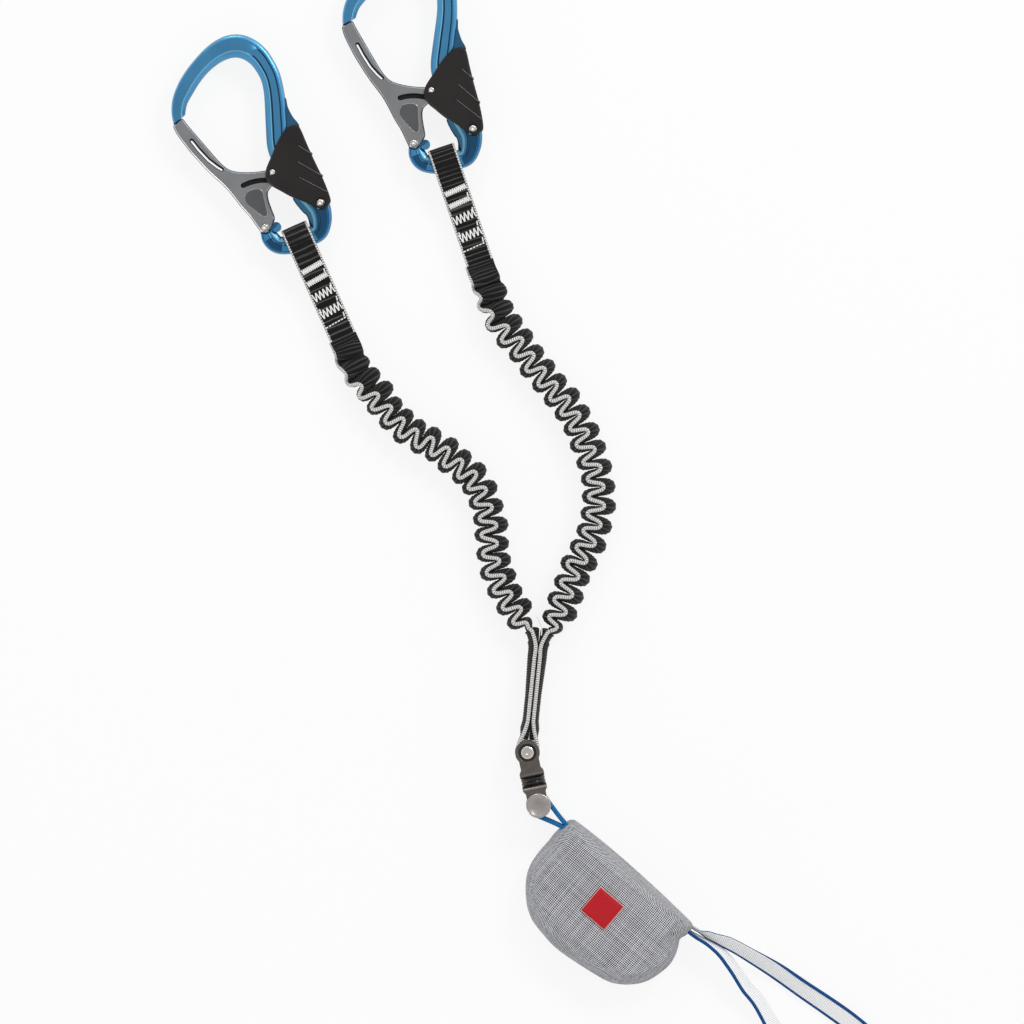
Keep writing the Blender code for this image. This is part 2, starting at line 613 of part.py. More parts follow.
def carabiner_body_mesh():
    half = BAR_THICKNESS / 2 + CUT_OVERRUN
    web = WEB_THICKNESS / 2
    left = at(NOSE_JOINT_SHARES[0])[0]
    right = at(NOSE_JOINT_SHARES[1])[0]
    foot = at((0, NOSE_FOOT_SHARE))[1]
    below_nose = [(left, foot), (right, foot), (right, nose_line(right)), (left, nose_line(left))]
    tongue_out, tongue_in = (s * CARABINER_LENGTH for s in TONGUE_SHARES)
    tongue = [
        (tongue_out, nose_line(tongue_out, TONGUE_LENGTH)), (tongue_in, nose_line(tongue_in, TONGUE_LENGTH)),
        (tongue_in, nose_line(tongue_in, -TONGUE_LENGTH)), (tongue_out, nose_line(tongue_out, -TONGUE_LENGTH)),
    ]
    gusset = rounded_outline(GUSSET_SHARES)
    body_half = BAR_THICKNESS * BODY_STATION_SHARES[-1][3] / 2
    spring_floor = body_half - LEVER_SPRING_PITCH * LEVER_SPRING_TURNS - LEVER_SPRING_WIRE - GAP
    steps = [
        ("DIFFERENCE", outline_solid([below_nose], -half, half)),
        ("UNION", outline_solid([tongue], -TONGUE_THICKNESS / 2, TONGUE_THICKNESS / 2)),
        ("UNION", outline_solid([gusset], -GUSSET_THICKNESS / 2, GUSSET_THICKNESS / 2)),
        ("UNION", cylinder(HUMP_RADIUS, -body_half, body_half, at(HUMP_SHARE))),
        ("UNION", cylinder(LUG_RADIUS, -web, web, GATE_PIVOT)),
        ("DIFFERENCE", sector(GATE_PIVOT, 0, WEB_RADIUS, *MOUTH_ANGLES, -half, half)),
    ]
    for low, high in ((web, half), (-half, -web)):
        steps.append(("DIFFERENCE", fork_room(low, high)))
        steps.append(("DIFFERENCE", sector(GATE_PIVOT, LUG_RADIUS, ARM_REACH, *SWEEP_ANGLES, low, high)))
    steps.append(("DIFFERENCE", cylinder(RIVET_RADIUS + GAP, -half, half, GATE_PIVOT)))
    steps.append(("DIFFERENCE", cylinder(RIVET_RADIUS + GAP, -half, half, LEVER_PIVOT)))
    spring_room = LEVER_SPRING_RADIUS + LEVER_SPRING_WIRE / 2 + GAP
    steps.append(("DIFFERENCE", cylinder(spring_room, spring_floor, half, LEVER_PIVOT)))
    return shaped(loft(body_rings()), steps)


def capsule(points, radius, bottom, top):
    """A slot with round ends along a line of points."""
    path = [Vector(p) for p in points]
    left, right = [], []
    for i, point in enumerate(path):
        run = (path[min(i + 1, len(path) - 1)] - path[max(i - 1, 0)]).normalized()
        side = Vector((-run[1], run[0])) * radius
        left.append(tuple(point + side))
        right.append(tuple(point - side))
    first = math.degrees(math.atan2(*(path[1] - path[0]).yx))
    last = math.degrees(math.atan2(*(path[-1] - path[-2]).yx))
    head = arc(path[-1], radius, last + 90, last - 90, 6)[1:-1]
    tail = arc(path[0], radius, first + 270, first + 90, 6)[1:-1]
    return outline_solid([left + head + right[::-1] + tail], bottom, top)


def gate_mesh():
    half = GATE_THICKNESS / 2
    over = half + CUT_OVERRUN
    nose_out, nose_in = (s * CARABINER_LENGTH for s in GATE_NOSE_SHARES)
    start = (nose_out, nose_line(nose_out, NOSE_GAP))
    end = (nose_in, nose_line(nose_in, NOSE_GAP))
    outline = [(p[0], p[1]) for p in thinned(smooth([start, *(at(s) for s in GATE_SHARES), end]))]
    wall = KEYLOCK_WALL_SHARE * CARABINER_LENGTH
    left = at(NOSE_JOINT_SHARES[0])[0]
    depth = NOSE_GAP + TONGUE_LENGTH + KEYLOCK_CLEARANCE
    keylock = [
        (left, nose_line(left, depth)), (wall, nose_line(wall, depth)),
        (wall, nose_line(wall, -TONGUE_LENGTH)), (left, nose_line(left, -TONGUE_LENGTH)),
    ]
    keylock_half = TONGUE_THICKNESS / 2 + KEYLOCK_CLEARANCE
    fork = FORK_SLOT / 2
    window = [at(s) for s in WINDOW_SHARES]
    pocket = rounded_outline(POCKET_SHARES)
    hump_reach = math.dist(GATE_PIVOT, at(HUMP_SHARE)) + HUMP_RADIUS + 2 * GAP
    bore = Matrix.Translation((GATE_PIVOT[0], GATE_PIVOT[1], 0)) @ Matrix.Rotation(math.radians(-90), 4, "X")
    steps = [
        ("DIFFERENCE", outline_solid([keylock], -keylock_half, keylock_half)),
        ("DIFFERENCE", capsule(window, WINDOW_WIDTH / 2, -over, over)),
        ("DIFFERENCE", cylinder(LUG_RADIUS + GAP, -fork, fork, GATE_PIVOT)),
        ("DIFFERENCE", sector(GATE_PIVOT, 0, hump_reach, *LUG_SLOT_ANGLES, -fork, fork)),
        ("DIFFERENCE", sector(GATE_PIVOT, WEB_RADIUS - GAP, 2 * WEB_RADIUS, *FORK_ANGLES, -fork, fork)),
        ("DIFFERENCE", cylinder(RIVET_RADIUS + GAP, -over, over, GATE_PIVOT)),
        ("DIFFERENCE", cylinder(GATE_BORE_RADIUS, 0, GATE_BORE_DEPTH, turn=bore, steps=12)),
    ]
    notch = [
        (GATE_PIVOT[0] + radius * math.cos(math.radians(LOCK_ANGLE)),
         GATE_PIVOT[1] + radius * math.sin(math.radians(LOCK_ANGLE)))
        for radius in (GROOVE_RADIUS, LOCK_RADIUS)
    ]
    groove = arc(GATE_PIVOT, GROOVE_RADIUS, *GROOVE_ANGLES, 8)
    for low, high in ((half - GROOVE_DEPTH, over), (-over, GROOVE_DEPTH - half)):
        steps.append(("DIFFERENCE", capsule(groove, GROOVE_WIDTH / 2, low, high)))
    for low, high in ((0, over), (-over, 0)):
        steps.append(("DIFFERENCE", capsule(notch, GROOVE_WIDTH / 2, low, high)))
    for low, high in ((half - POCKET_DEPTH, over), (-over, POCKET_DEPTH - half)):
        steps.append(("DIFFERENCE", outline_solid([pocket], low, high)))
    return shaped(outline_solid([outline], -half, half), steps, bevel=GATE_EDGE)


def lever_mesh():
    outline = rounded_outline(LEVER_SHARES)
    palm = [at(s) for s in PALM_WALL_SHARES]
    inner = [(x - LEVER_WALL, y) for x, y in palm]
    top, foot = inner[0][1], inner[-1][1]
    far = CARABINER_LENGTH
    room = [(far, top), *inner, (far, foot), (far, -far), (-far, -far), (-far, far), (far, far)]
    ridge_half = LEVER_HALF + RIDGE_HEIGHT
    steps = []
    for start, end in RIDGE_SHARES:
        low, high = Vector(at(start)), Vector(at(end))
        line = [low, high + (high - low).normalized() * RIDGE_HEIGHT]
        steps.append(("UNION", capsule(line, RIDGE_WIDTH / 2, -ridge_half, ridge_half)))
    over = LEVER_HALF + CUT_OVERRUN
    steps.append(("DIFFERENCE", outline_solid([room], -LEVER_SLOT_HALF, LEVER_SLOT_HALF)))
    steps.append(("DIFFERENCE", cylinder(RIVET_RADIUS + GAP, -over, over, LEVER_PIVOT)))
    steps.append(("DIFFERENCE", cylinder(LOCK_STUD_RADIUS + GAP, -over, over, LOCK_POINT)))
    for low, high in ((LEVER_HALF - RIVET_RECESS_DEPTH, over), (-over, RIVET_RECESS_DEPTH - LEVER_HALF)):
        steps.append(("DIFFERENCE", cylinder(RIVET_RECESS_RADIUS, low, high, LEVER_PIVOT)))
    return shaped(outline_solid([outline], -LEVER_HALF, LEVER_HALF), steps, bevel=LEVER_EDGE)


def rivet_mesh(radius, half, centre):
    """A plain rivet whose two ends are slightly domed."""
    crown = radius * 0.6
    profile = [(0, half), (crown, half), (radius, half - radius * 0.25), (radius, radius * 0.25 - half),
               (crown, -half), (0, -half)]
    mesh = turned(profile, steps=12)
    mesh.transform(Matrix.Translation((centre[0], centre[1], 0)))
    return mesh


def stud_mesh(top, bottom):
    """A lock stud, riveted in one plate of the lever: its tip ends just above the gate's arm."""
    mesh = turned([(0, top), (LOCK_STUD_RADIUS * 0.6, top), (LOCK_STUD_RADIUS, top - LOCK_STUD_RADIUS * 0.25),
                   (LOCK_STUD_RADIUS, bottom), (0, bottom)], steps=12)
    mesh.transform(Matrix.Translation((LOCK_POINT[0], LOCK_POINT[1], 0)))
    return mesh


def coil_mesh(radius, wire, pitch, turns, turn):
    """A wound spring: one unbroken wire, whose least gap to itself is its pitch less the wire."""
    curve = bpy.data.curves.new("coil", "CURVE")
    curve.dimensions = "3D"
    curve.bevel_depth = wire / 2
    curve.bevel_resolution = 1
    curve.use_fill_caps = True
    count = turns * SPRING_POINTS_A_TURN + 1
    spline = curve.splines.new("POLY")
    spline.points.add(count - 1)
    for i, point in enumerate(spline.points):
        angle = 2 * math.pi * i / SPRING_POINTS_A_TURN
        height = pitch * i / SPRING_POINTS_A_TURN
        point.co = (radius * math.cos(angle), radius * math.sin(angle), height, 1)
    obj = bpy.data.objects.new("coil", curve)
    CUTTERS.objects.link(obj)
    mesh = weld(evaluated_mesh(obj))
    mesh.transform(turn)
    print(f"spring of {turns} turns: least gap to itself {(pitch - wire) * 1000:.2f} mm")
    return mesh


def carabiner_meshes():
    """Every piece of one carabiner, as (name, mesh, material, the pivot that it turns on)."""
    gate_half = GATE_THICKNESS / 2
    up = Matrix.Translation((GATE_PIVOT[0], GATE_PIVOT[1], 0)) @ Matrix.Rotation(math.radians(-90), 4, "X")
    plunger_foot = LUG_RADIUS + GAP
    spring_foot = plunger_foot + PLUNGER_LENGTH + GAP
    spring_length = GATE_BORE_DEPTH - GAP - spring_foot - GATE_SPRING_WIRE
    gate_spring = coil_mesh(
        GATE_SPRING_RADIUS, GATE_SPRING_WIRE, spring_length / GATE_SPRING_TURNS, GATE_SPRING_TURNS,
        up @ Matrix.Translation((0, 0, spring_foot + GATE_SPRING_WIRE / 2)),
    )
    body_half = BAR_THICKNESS * BODY_STATION_SHARES[-1][3] / 2
    spring_base = body_half - LEVER_SPRING_PITCH * LEVER_SPRING_TURNS - LEVER_SPRING_WIRE / 2
    lever_spring = coil_mesh(
        LEVER_SPRING_RADIUS, LEVER_SPRING_WIRE, LEVER_SPRING_PITCH, LEVER_SPRING_TURNS,
        Matrix.Translation((LEVER_PIVOT[0], LEVER_PIVOT[1], spring_base)),
    )
    stud_top = LEVER_HALF + RIVET_PROUD
    stud_tip = gate_half + GAP
    plunger = cylinder(PLUNGER_RADIUS, plunger_foot, plunger_foot + PLUNGER_LENGTH, turn=up, steps=12)
    gate_rivet = rivet_mesh(RIVET_RADIUS, gate_half + RIVET_PROUD, GATE_PIVOT)
    return [
        ("carabiner_body", carabiner_body_mesh(), BLUE_ALUMINIUM, None),
        ("gate", gate_mesh(), GREY_ALUMINIUM, GATE_PIVOT),
        ("gate_rivet", gate_rivet, BRIGHT_STEEL, None),
        ("gate_plunger", plunger, BRIGHT_STEEL, GATE_PIVOT),
        ("gate_spring", gate_spring, SPRING_STEEL, GATE_PIVOT),
        ("palm_lever", lever_mesh(), BLACK_PLASTIC, LEVER_PIVOT),
        ("lever_rivet", rivet_mesh(RIVET_RADIUS, stud_top, LEVER_PIVOT), BRIGHT_STEEL, None),
        ("lever_spring", lever_spring, SPRING_STEEL, None),
        ("lock_stud_front", stud_mesh(stud_top, stud_tip), BRIGHT_STEEL, LEVER_PIVOT),
        ("lock_stud_back", stud_mesh(-stud_tip, -stud_top), BRIGHT_STEEL, LEVER_PIVOT),
    ]


def end_loop_mesh():
    """Webbing sewn back on itself round the carabiner's bar: a teardrop loop with a flat sewn tail."""
    outer = LOOP_OUTER_RADIUS
    inner = outer - WEBBING_THICKNESS
    seam = SEAM_THICKNESS / 2
    neck = math.hypot(LOOP_NECK, seam)
    leave = math.degrees(math.acos(outer / neck) + math.atan2(seam, LOOP_NECK))
    inside = math.degrees(math.acos(inner / LOOP_CROTCH))
    skin = [(SEWN_LENGTH, -seam), (SEWN_LENGTH, seam), (LOOP_NECK, seam), *arc((0, 0), outer, leave, 360 - leave, 14),
            (LOOP_NECK, -seam)]
    hole = [(LOOP_CROTCH, 0), *arc((0, 0), inner, inside, 360 - inside, 14)]
    turn = Matrix(((0, 0, -1, 0), (-1, 0, 0, 0), (0, 1, 0, 0), (0, 0, 0, 1)))
    return outline_solid([skin, hole], -WEBBING_WIDTH / 2, WEBBING_WIDTH / 2, turn)


def lengths_along(points):
    total = [0.0]
    for a, b in zip(points, points[1:]):
        total.append(total[-1] + (b - a).length)
    return total


def spaced(points, spacing):
    """Points at equal distances along a dense line of points, and their directions."""
    total = lengths_along(points)
    count = max(2, round(total[-1] / spacing))
    found = []
    j = 0
    for k in range(count + 1):
        want = total[-1] * k / count
        while j < len(total) - 2 and total[j + 1] < want:
            j += 1
        span = total[j + 1] - total[j]
        found.append(points[j].lerp(points[j + 1], (want - total[j]) / span if span else 0))
    runs = [
        (found[min(i + 1, count)] - found[max(i - 1, 0)]).normalized() for i in range(count + 1)
    ]
    return found, runs, total[-1]


def webbing_ring(levels, width_axis, headings, thicknesses):
    """Six points of one section: two edges and the belly between them, each on its own place and heading."""
    (low, middle, high), (edge, belly_out, belly_in) = levels, thicknesses
    thin, side = (heading.cross(width_axis).normalized() for heading in headings)
    return [
        low - thin * edge / 2, low + thin * edge / 2, middle + side * belly_out,
        high + thin * edge / 2, high - thin * edge / 2, middle - side * belly_in,
    ]


def eased(share):
    return share * share * (3 - 2 * share)


def pleated_arm_mesh(name, pleats, route, start, start_run, end, end_run):
    """A tube of webbing that its elastic core gathers: face up where it is sewn, and slowly turned on edge."""
    start, end = Vector((*start, LOOP_HEIGHT)), Vector((*end, ARM_HEIGHT))
    lead, follow = start_run * ARM_LEAD_LENGTH, end_run * CROTCH_LEAD_LENGTH
    bends = [Vector((x, y, ARM_HEIGHT)) for x, y in route]
    past = [bend for bend in bends if (bend - start).dot(start_run) > 2 * ARM_LEAD_LENGTH]
    places = [start, start + lead, *past, end - follow, end]
    dense = smooth(places, 12)
    length = lengths_along(dense)[-1]
    points, runs, length = spaced(dense, length / pleats / POINTS_A_PLEAT)
    pace = 2 * math.pi * pleats / length
    up = Vector((0, 0, 1))
    rings, spine = [], []
    for i, (point, run) in enumerate(zip(points, runs)):
        done = length * i / (len(points) - 1)
        opened = min(1, done / ARM_GATHER_LENGTH)
        gathered = eased(min(opened, (length - done) / ARM_END_LENGTH))
        roll = math.radians(90) * eased(min(1, done / ARM_TWIST_LENGTH))
        width_axis = run.cross(up).normalized() * math.cos(roll) + up * math.sin(roll)
        facing = run.cross(width_axis).normalized()
        swing = gathered * (FACE_UP_SWING_SHARE + (1 - FACE_UP_SWING_SHARE) * math.sin(roll))
        middle = point + up * PLEAT_EDGE_SWING * swing * math.sin(2 * roll) / 2
        phase = pace * done
        wave = (math.sin(phase) + PLEAT_FLATNESS_SHARE * math.sin(3 * phase)) * swing
        steep = (math.cos(phase) + 3 * PLEAT_FLATNESS_SHARE * math.cos(3 * phase)) * swing * pace
        levels, headings = [], []
        for height, reach, share in (
            (-1, PLEAT_EDGE_SWING, PLEAT_EDGE_FULLNESS_SHARE), (0, PLEAT_BELLY_SWING, PLEAT_FULLNESS_SHARE),
            (1, PLEAT_EDGE_SWING, PLEAT_EDGE_FULLNESS_SHARE),
        ):
            ahead = -run * share * gathered / pace * math.sin(2 * phase)
            onward = 1 - 2 * share * gathered * math.cos(2 * phase)
            levels.append(middle + ahead + width_axis * height * WEBBING_WIDTH / 2
                          + facing * (reach * wave + height * PLEAT_LEAN * gathered))
            headings.append((run * onward + facing * steep * reach).normalized())
        edge = SEAM_THICKNESS + (PLEAT_EDGE_THICKNESS - SEAM_THICKNESS) * opened
        belly = (SEAM_THICKNESS + (PLEAT_BELLY_THICKNESS - SEAM_THICKNESS) * gathered) / 2
        rings.append(webbing_ring(levels, width_axis, headings[:2], (edge, belly, belly)))
        spine.append((levels[1], belly))
    near = min(
        (a - b).length - thick - other for i, (a, thick) in enumerate(spine)
        for b, other in spine[i + POINTS_A_PLEAT // 2:i + 2 * POINTS_A_PLEAT]
    )
    print(f"{name}: {length * 1000:.0f} mm long, {pleats} pleats, least gap {near * 1000:.2f} mm")
    return loft(rings)


def stem_frame():
    """The stem's foot at the upper pin, its direction to the crotch, its side and its length."""
    foot = Vector((*UPPER_PIN, 0))
    top = Vector((*CROTCH, 0))
    run = (top - foot).normalized()
    return foot, run, Vector((run[1], -run[0], 0)), (top - foot).length


def stem_end(side_sign, beyond):
    """Where one strand of the stem turns out to its arm, a little beyond its end, and its way there."""
    foot, run, side, length = stem_frame()
    turn = math.radians(STEM_FLARE_ANGLE)
    out = run * math.cos(turn) + side * math.sin(turn) * side_sign
    place = foot + run * (length + STEM_FLARE_LENGTH) + side * (STEM_SPREAD + STEM_FLARE) * side_sign + out * beyond
    return (place[0], place[1]), out


def stem_mesh():
    """The arms' common webbing: down one side of the stem, round the upper bush and up the other side."""
    foot, run, side, length = stem_frame()
    round_pin = BUSH_RADIUS + WRAP_GAP + STEM_EDGE_THICKNESS / 2
    turn = math.radians(STEM_FLARE_ANGLE)
    half = [(STEM_SPREAD + STEM_FLARE - math.sin(turn) * back, length + STEM_FLARE_LENGTH - math.cos(turn) * back)
            for back in (0, STEM_FLARE_LENGTH / 2)]
    half += [(STEM_SPREAD, length * share) for share in (0.94, 0.82, 0.7, 0.55, 0.42, 0.3)]
    half += [(STEM_SPREAD + (round_pin - STEM_SPREAD) * share, round_pin * reach)
             for share, reach in ((0.08, 2.8), (0.4, 1.8), (0.8, 0.9))]
    bend = [(x, y) for x, y in arc((0, 0), round_pin, 0, -180, 8)]
    line = [*half, *bend, *((-x, y) for x, y in reversed(half))]
    rise = SWIVEL_HEIGHT - ARM_HEIGHT
    clear = CLEVIS_EAR_RADIUS + 2 * WEBBING_THICKNESS
    dense = smooth([
        foot + side * x + run * y
        + Vector((0, 0, SWIVEL_HEIGHT - rise * min(1, max(0, y - clear) / (length * 0.9 - clear))))
        for x, y in line
    ], 6)
    points, runs, total = spaced(dense, 2 * WEBBING_THICKNESS)
    up = Vector((0, 0, 1))
    rings = []
    for i, (point, heading) in enumerate(zip(points, runs)):
        height = (point - foot).dot(run)
        free = max(0, 2 * height / length - 1)
        edge = STEM_EDGE_THICKNESS / 2
        inner = edge + (STEM_BELLY_IN - edge) * free
        outer = edge + (STEM_BELLY_OUT - edge) * free
        levels = [point + up * z * WEBBING_WIDTH / 2 for z in (-1, 0, 1)]
        rings.append(webbing_ring(levels, up, (heading, heading), (STEM_EDGE_THICKNESS, inner, outer)))
    return loft(rings)


def clevis_mesh(reach, recess):
    """A bent clevis: two ears on a pin at the origin and a base across +Y, cut from one strip."""
    half_gap = CLEVIS_GAP / 2
    half_out = half_gap + CLEVIS_PLATE
    inner_bend = CLEVIS_BEND - CLEVIS_PLATE
    base = reach - CLEVIS_BASE
    back = -CLEVIS_EAR_RADIUS - CUT_OVERRUN
    strip = [(back, half_out), *reversed(arc((reach - CLEVIS_BEND, half_out - CLEVIS_BEND), CLEVIS_BEND, 0, 90, 5)),
             *reversed(arc((reach - CLEVIS_BEND, CLEVIS_BEND - half_out), CLEVIS_BEND, -90, 0, 5)),
             (back, -half_out), (back, -half_gap),
             *arc((base - inner_bend, inner_bend - half_gap), inner_bend, -90, 0, 3),
             *arc((base - inner_bend, half_gap - inner_bend), inner_bend, 0, 90, 3), (back, half_gap)]
    turn = Matrix(((0, 0, 1, 0), (1, 0, 0, 0), (0, 1, 0, 0), (0, 0, 0, 1)))
    bent = outline_solid([strip], -CLEVIS_WIDTH / 2, CLEVIS_WIDTH / 2, turn)
    neck, width = CLEVIS_NECK / 2, CLEVIS_WIDTH / 2
    join = math.degrees(math.asin(neck / CLEVIS_EAR_RADIUS))
    flare = base - CLEVIS_PLATE
    far = reach + CUT_OVERRUN
    plan = [*arc((0, 0), CLEVIS_EAR_RADIUS, 90 + join, 450 - join, 20), (neck, flare), (width, base), (width, far),
            (-width, far), (-width, base), (-neck, flare)]
    over = half_out + CUT_OVERRUN
    lying = Matrix.Rotation(math.radians(-90), 4, "X")
    steps = [
        ("INTERSECT", outline_solid([plan], -over, over)),
        ("DIFFERENCE", cylinder(PIN_RADIUS + PIN_CLEARANCE, -over, over)),
        ("DIFFERENCE", cylinder(SWIVEL_RIVET_RADIUS + PIN_CLEARANCE, base / 2, far, turn=lying)),
    ]
    if recess:
        floor = half_out - UPPER_RECESS_DEPTH
        steps.append(("DIFFERENCE", cylinder(UPPER_RECESS_RADIUS, floor, over)))
        steps.append(("DIFFERENCE", cylinder(UPPER_RECESS_RADIUS, -over, -floor)))
    return shaped(bent, steps)


def pin_mesh(head_radius):
    half = SWIVEL_HEIGHT
    inside = half - PIN_HEAD
    soft = head_radius - PIN_CHAMFER
    return turned([
        (0, half), (soft, half), (head_radius, half - PIN_CHAMFER), (head_radius, inside), (PIN_RADIUS, inside),
        (PIN_RADIUS, -inside), (head_radius, -inside), (head_radius, PIN_CHAMFER - half), (soft, -half), (0, -half),
    ])


def tube_mesh(inner, outer, bottom, top, turn=None):
    mesh = turned([(outer, top), (outer, bottom), (inner, bottom), (inner, top)], closed=True)
    if turn is not None:
        mesh.transform(turn)
    return mesh


def swivel_pieces(lower, upper):
    """The two clevises with their pins and bushes, and the riveted swivel between their bases."""
    bush_half = CLEVIS_GAP / 2 - GAP
    flip = Matrix.Translation((0, SWIVEL_SPAN, 0)) @ Matrix.Rotation(math.radians(180), 4, "Z")
    piece("lower_clevis", clevis_mesh(LOWER_BASE_REACH, recess=False), BRUSHED_STEEL, lower)
    piece("lower_pin", pin_mesh(CLEVIS_EAR_RADIUS), BRUSHED_STEEL, lower)
    piece("lower_bush", tube_mesh(PIN_RADIUS + PIN_CLEARANCE, BUSH_RADIUS, -bush_half, bush_half), BRASS_BUSH, lower)
    upper_mesh = clevis_mesh(UPPER_BASE_REACH, recess=True)
    upper_mesh.transform(flip)
    piece("upper_clevis", upper_mesh, BRUSHED_STEEL, upper)
    upper_pin = pin_mesh(UPPER_HEAD_RADIUS)
    upper_pin.transform(flip)
    piece("upper_pin", upper_pin, BRIGHT_STEEL, upper)
    piece("upper_bush", tube_mesh(PIN_RADIUS + PIN_CLEARANCE, BUSH_RADIUS, -bush_half, bush_half, flip), BRASS_BUSH,
          upper)
    lying = Matrix.Rotation(math.radians(-90), 4, "X")
    lower_inside = LOWER_BASE_REACH - CLEVIS_BASE - GAP
    upper_inside = SWIVEL_SPAN - UPPER_BASE_REACH + CLEVIS_BASE + GAP
    rivet = turned([
        (0, upper_inside + SWIVEL_RIVET_HEAD), (SWIVEL_RIVET_HEAD_RADIUS, upper_inside + SWIVEL_RIVET_HEAD),
        (SWIVEL_RIVET_HEAD_RADIUS, upper_inside), (SWIVEL_RIVET_RADIUS, upper_inside),
        (SWIVEL_RIVET_RADIUS, lower_inside), (SWIVEL_RIVET_HEAD_RADIUS, lower_inside),
        (SWIVEL_RIVET_HEAD_RADIUS, lower_inside - SWIVEL_RIVET_HEAD), (0, lower_inside - SWIVEL_RIVET_HEAD),
    ])
    rivet.transform(lying)
    piece("swivel_rivet", rivet, BRIGHT_STEEL, lower)
    hole = SWIVEL_RIVET_RADIUS + WASHER_HOLE_CLEARANCE
    for side, start, parent in (
        ("lower", LOWER_BASE_REACH + GAP, lower), ("upper", LOWER_BASE_REACH + WASHER_THICKNESS + 2 * GAP, upper),
    ):
        washer = tube_mesh(hole, WASHER_RADIUS, start, start + WASHER_THICKNESS, lying)
        piece(f"{side}_thrust_washer", washer, BLACK_PLASTIC, parent)


def on_edge_strip(points, width, thickness):
    """Webbing standing on edge along a line of points."""
    up = Vector((0, 0, 1))
    half = thickness / 2
    last = len(points) - 1
    rings = []
    for i, point in enumerate(points):
        run = (points[min(i + 1, last)] - points[max(i - 1, 0)]).normalized()
        levels = [point + up * z * width / 2 for z in (-1, 0, 1)]
        rings.append(webbing_ring(levels, up, (run, run), (thickness, half, half)))
    return loft(rings)


def absorber_loop_mesh():
    """White webbing with coloured edges, round the lower bush and together again into the pouch's mouth."""
    radius = BUSH_RADIUS + WRAP_GAP + ABSORBER_THICKNESS / 2
    apex = Vector((*ABSORBER_APEX, 0))
    run = apex.normalized()
    side = Vector((-run[1], run[0], 0))
    reach = apex.length
    close = ABSORBER_THICKNESS / 2 + GAP
    leave = math.degrees(math.asin((radius - close) / reach))
    half = [(reach + ABSORBER_TAIL, close), (reach + ABSORBER_TAIL / 2, close), (reach, close)]
    bend = [(x, y) for x, y in arc((0, 0), radius, 90 - leave, 270 + leave, 12)]
    line = [*half, *bend, *((x, -y) for x, y in reversed(half))]
    dense = smooth([run * x + side * y + Vector((0, 0, SWIVEL_HEIGHT)) for x, y in line], 6)
    return on_edge_strip(thinned(dense), ABSORBER_WIDTH, ABSORBER_THICKNESS)


def pouch_axes():
    angle = math.radians(POUCH_ANGLE)
    lengthways = Vector((math.cos(angle), math.sin(angle), 0))
    return Vector((*POUCH_CORNER, 0)), lengthways, Vector((lengthways[1], -lengthways[0], 0))


def in_pouch(share, height=0.0):
    corner, lengthways, across = pouch_axes()
    return corner + (lengthways * share[0] + across * share[1]) * POUCH_LENGTH + Vector((0, 0, height))


def pouch_skin(shrink, bottom, top):
    """A rounded D-shaped bag: its outline drawn in towards the top and the bottom."""
    middle = in_pouch(POUCH_CENTRE_SHARE)
    outline = [in_pouch(share) for share in POUCH_SHARES]
    rings = []
    for level, scale in POUCH_LEVEL_SHARES:
        height = bottom + (top - bottom) * level
        rings.append([middle + (p - middle) * scale * shrink + Vector((0, 0, height)) for p in outline])
    return loft(rings)


def pouch_mesh():
    lining = pouch_skin(POUCH_LINING_SHARE, POUCH_WALL, POUCH_THICKNESS - POUCH_WALL)
    steps = [("DIFFERENCE", lining)]
    half = ABSORBER_WIDTH / 2 + GAP
    low, high = SWIVEL_HEIGHT - half, SWIVEL_HEIGHT + half
    for place, towards in (mouth_line(0), mouth_line(1)):
        side = Vector((-towards[1], towards[0], 0)) * MOUTH_WIDTH / 2
        out = towards * 2 * MOUTH_WIDTH
        corners = [place - out - side, place + out - side, place + out + side, place - out + side]
        steps.append(("DIFFERENCE", outline_solid([[(c[0], c[1]) for c in corners]], low, high)))
    return shaped(pouch_skin(1.0, 0, POUCH_THICKNESS), steps)


def mouth_line(which):
    """The middle of one mouth of the pouch, and the way out of it."""
    if which == 0:
        apex = Vector((*ABSORBER_APEX, 0))
        return apex, -apex.normalized()
    first, last = Vector((*TIE_ROUTE[1], 0)), Vector((*TIE_ROUTE[-2], 0))
    inside = (Vector((*TIE_ROUTE[0], 0)) + Vector((*TIE_ROUTE[-1], 0))) / 2
    mouth = (first + last) / 2
    return mouth, (mouth - inside).normalized()


def patch_mesh():
    centre = in_pouch(PATCH_CENTRE_SHARE)
    _, lengthways, across = pouch_axes()
    half = PATCH_SIDE / 2
    corners = [centre + lengthways * a * half + across * b * half for a, b in ((-1, -1), (1, -1), (1, 1), (-1, 1))]
    bottom = POUCH_THICKNESS + GAP
    return outline_solid([[(c[0], c[1]) for c in corners]], bottom, bottom + PATCH_THICKNESS)


def absorber_pack_mesh():
    """The tear webbing, folded to and fro on edge inside the pouch."""
    line = []
    step = PACK_PITCH / POUCH_LENGTH
    for i, (start, end) in enumerate(PACK_RUN_SHARES):
        across = PACK_START_SHARE + i * step
        way = 1 if i % 2 == 0 else -1
        ends = (start, end)[::way]
        line += [(ends[0], across), ((start + end) / 2, across), (ends[1], across)]
        if i < len(PACK_RUN_SHARES) - 1:
            follow = PACK_RUN_SHARES[i + 1][1 if way > 0 else 0]
            turn = (ends[1] + follow) / 2
            line[-1] = (turn, across)
            line += [(turn + way * step * math.sin(a) / 2, across + step * (1 - math.cos(a)) / 2)
                     for a in (math.radians(60), math.radians(120))]
    height = POUCH_WALL + GAP + ABSORBER_WIDTH / 2
    return on_edge_strip([in_pouch(place, height) for place in line], ABSORBER_WIDTH, PACK_THICKNESS)


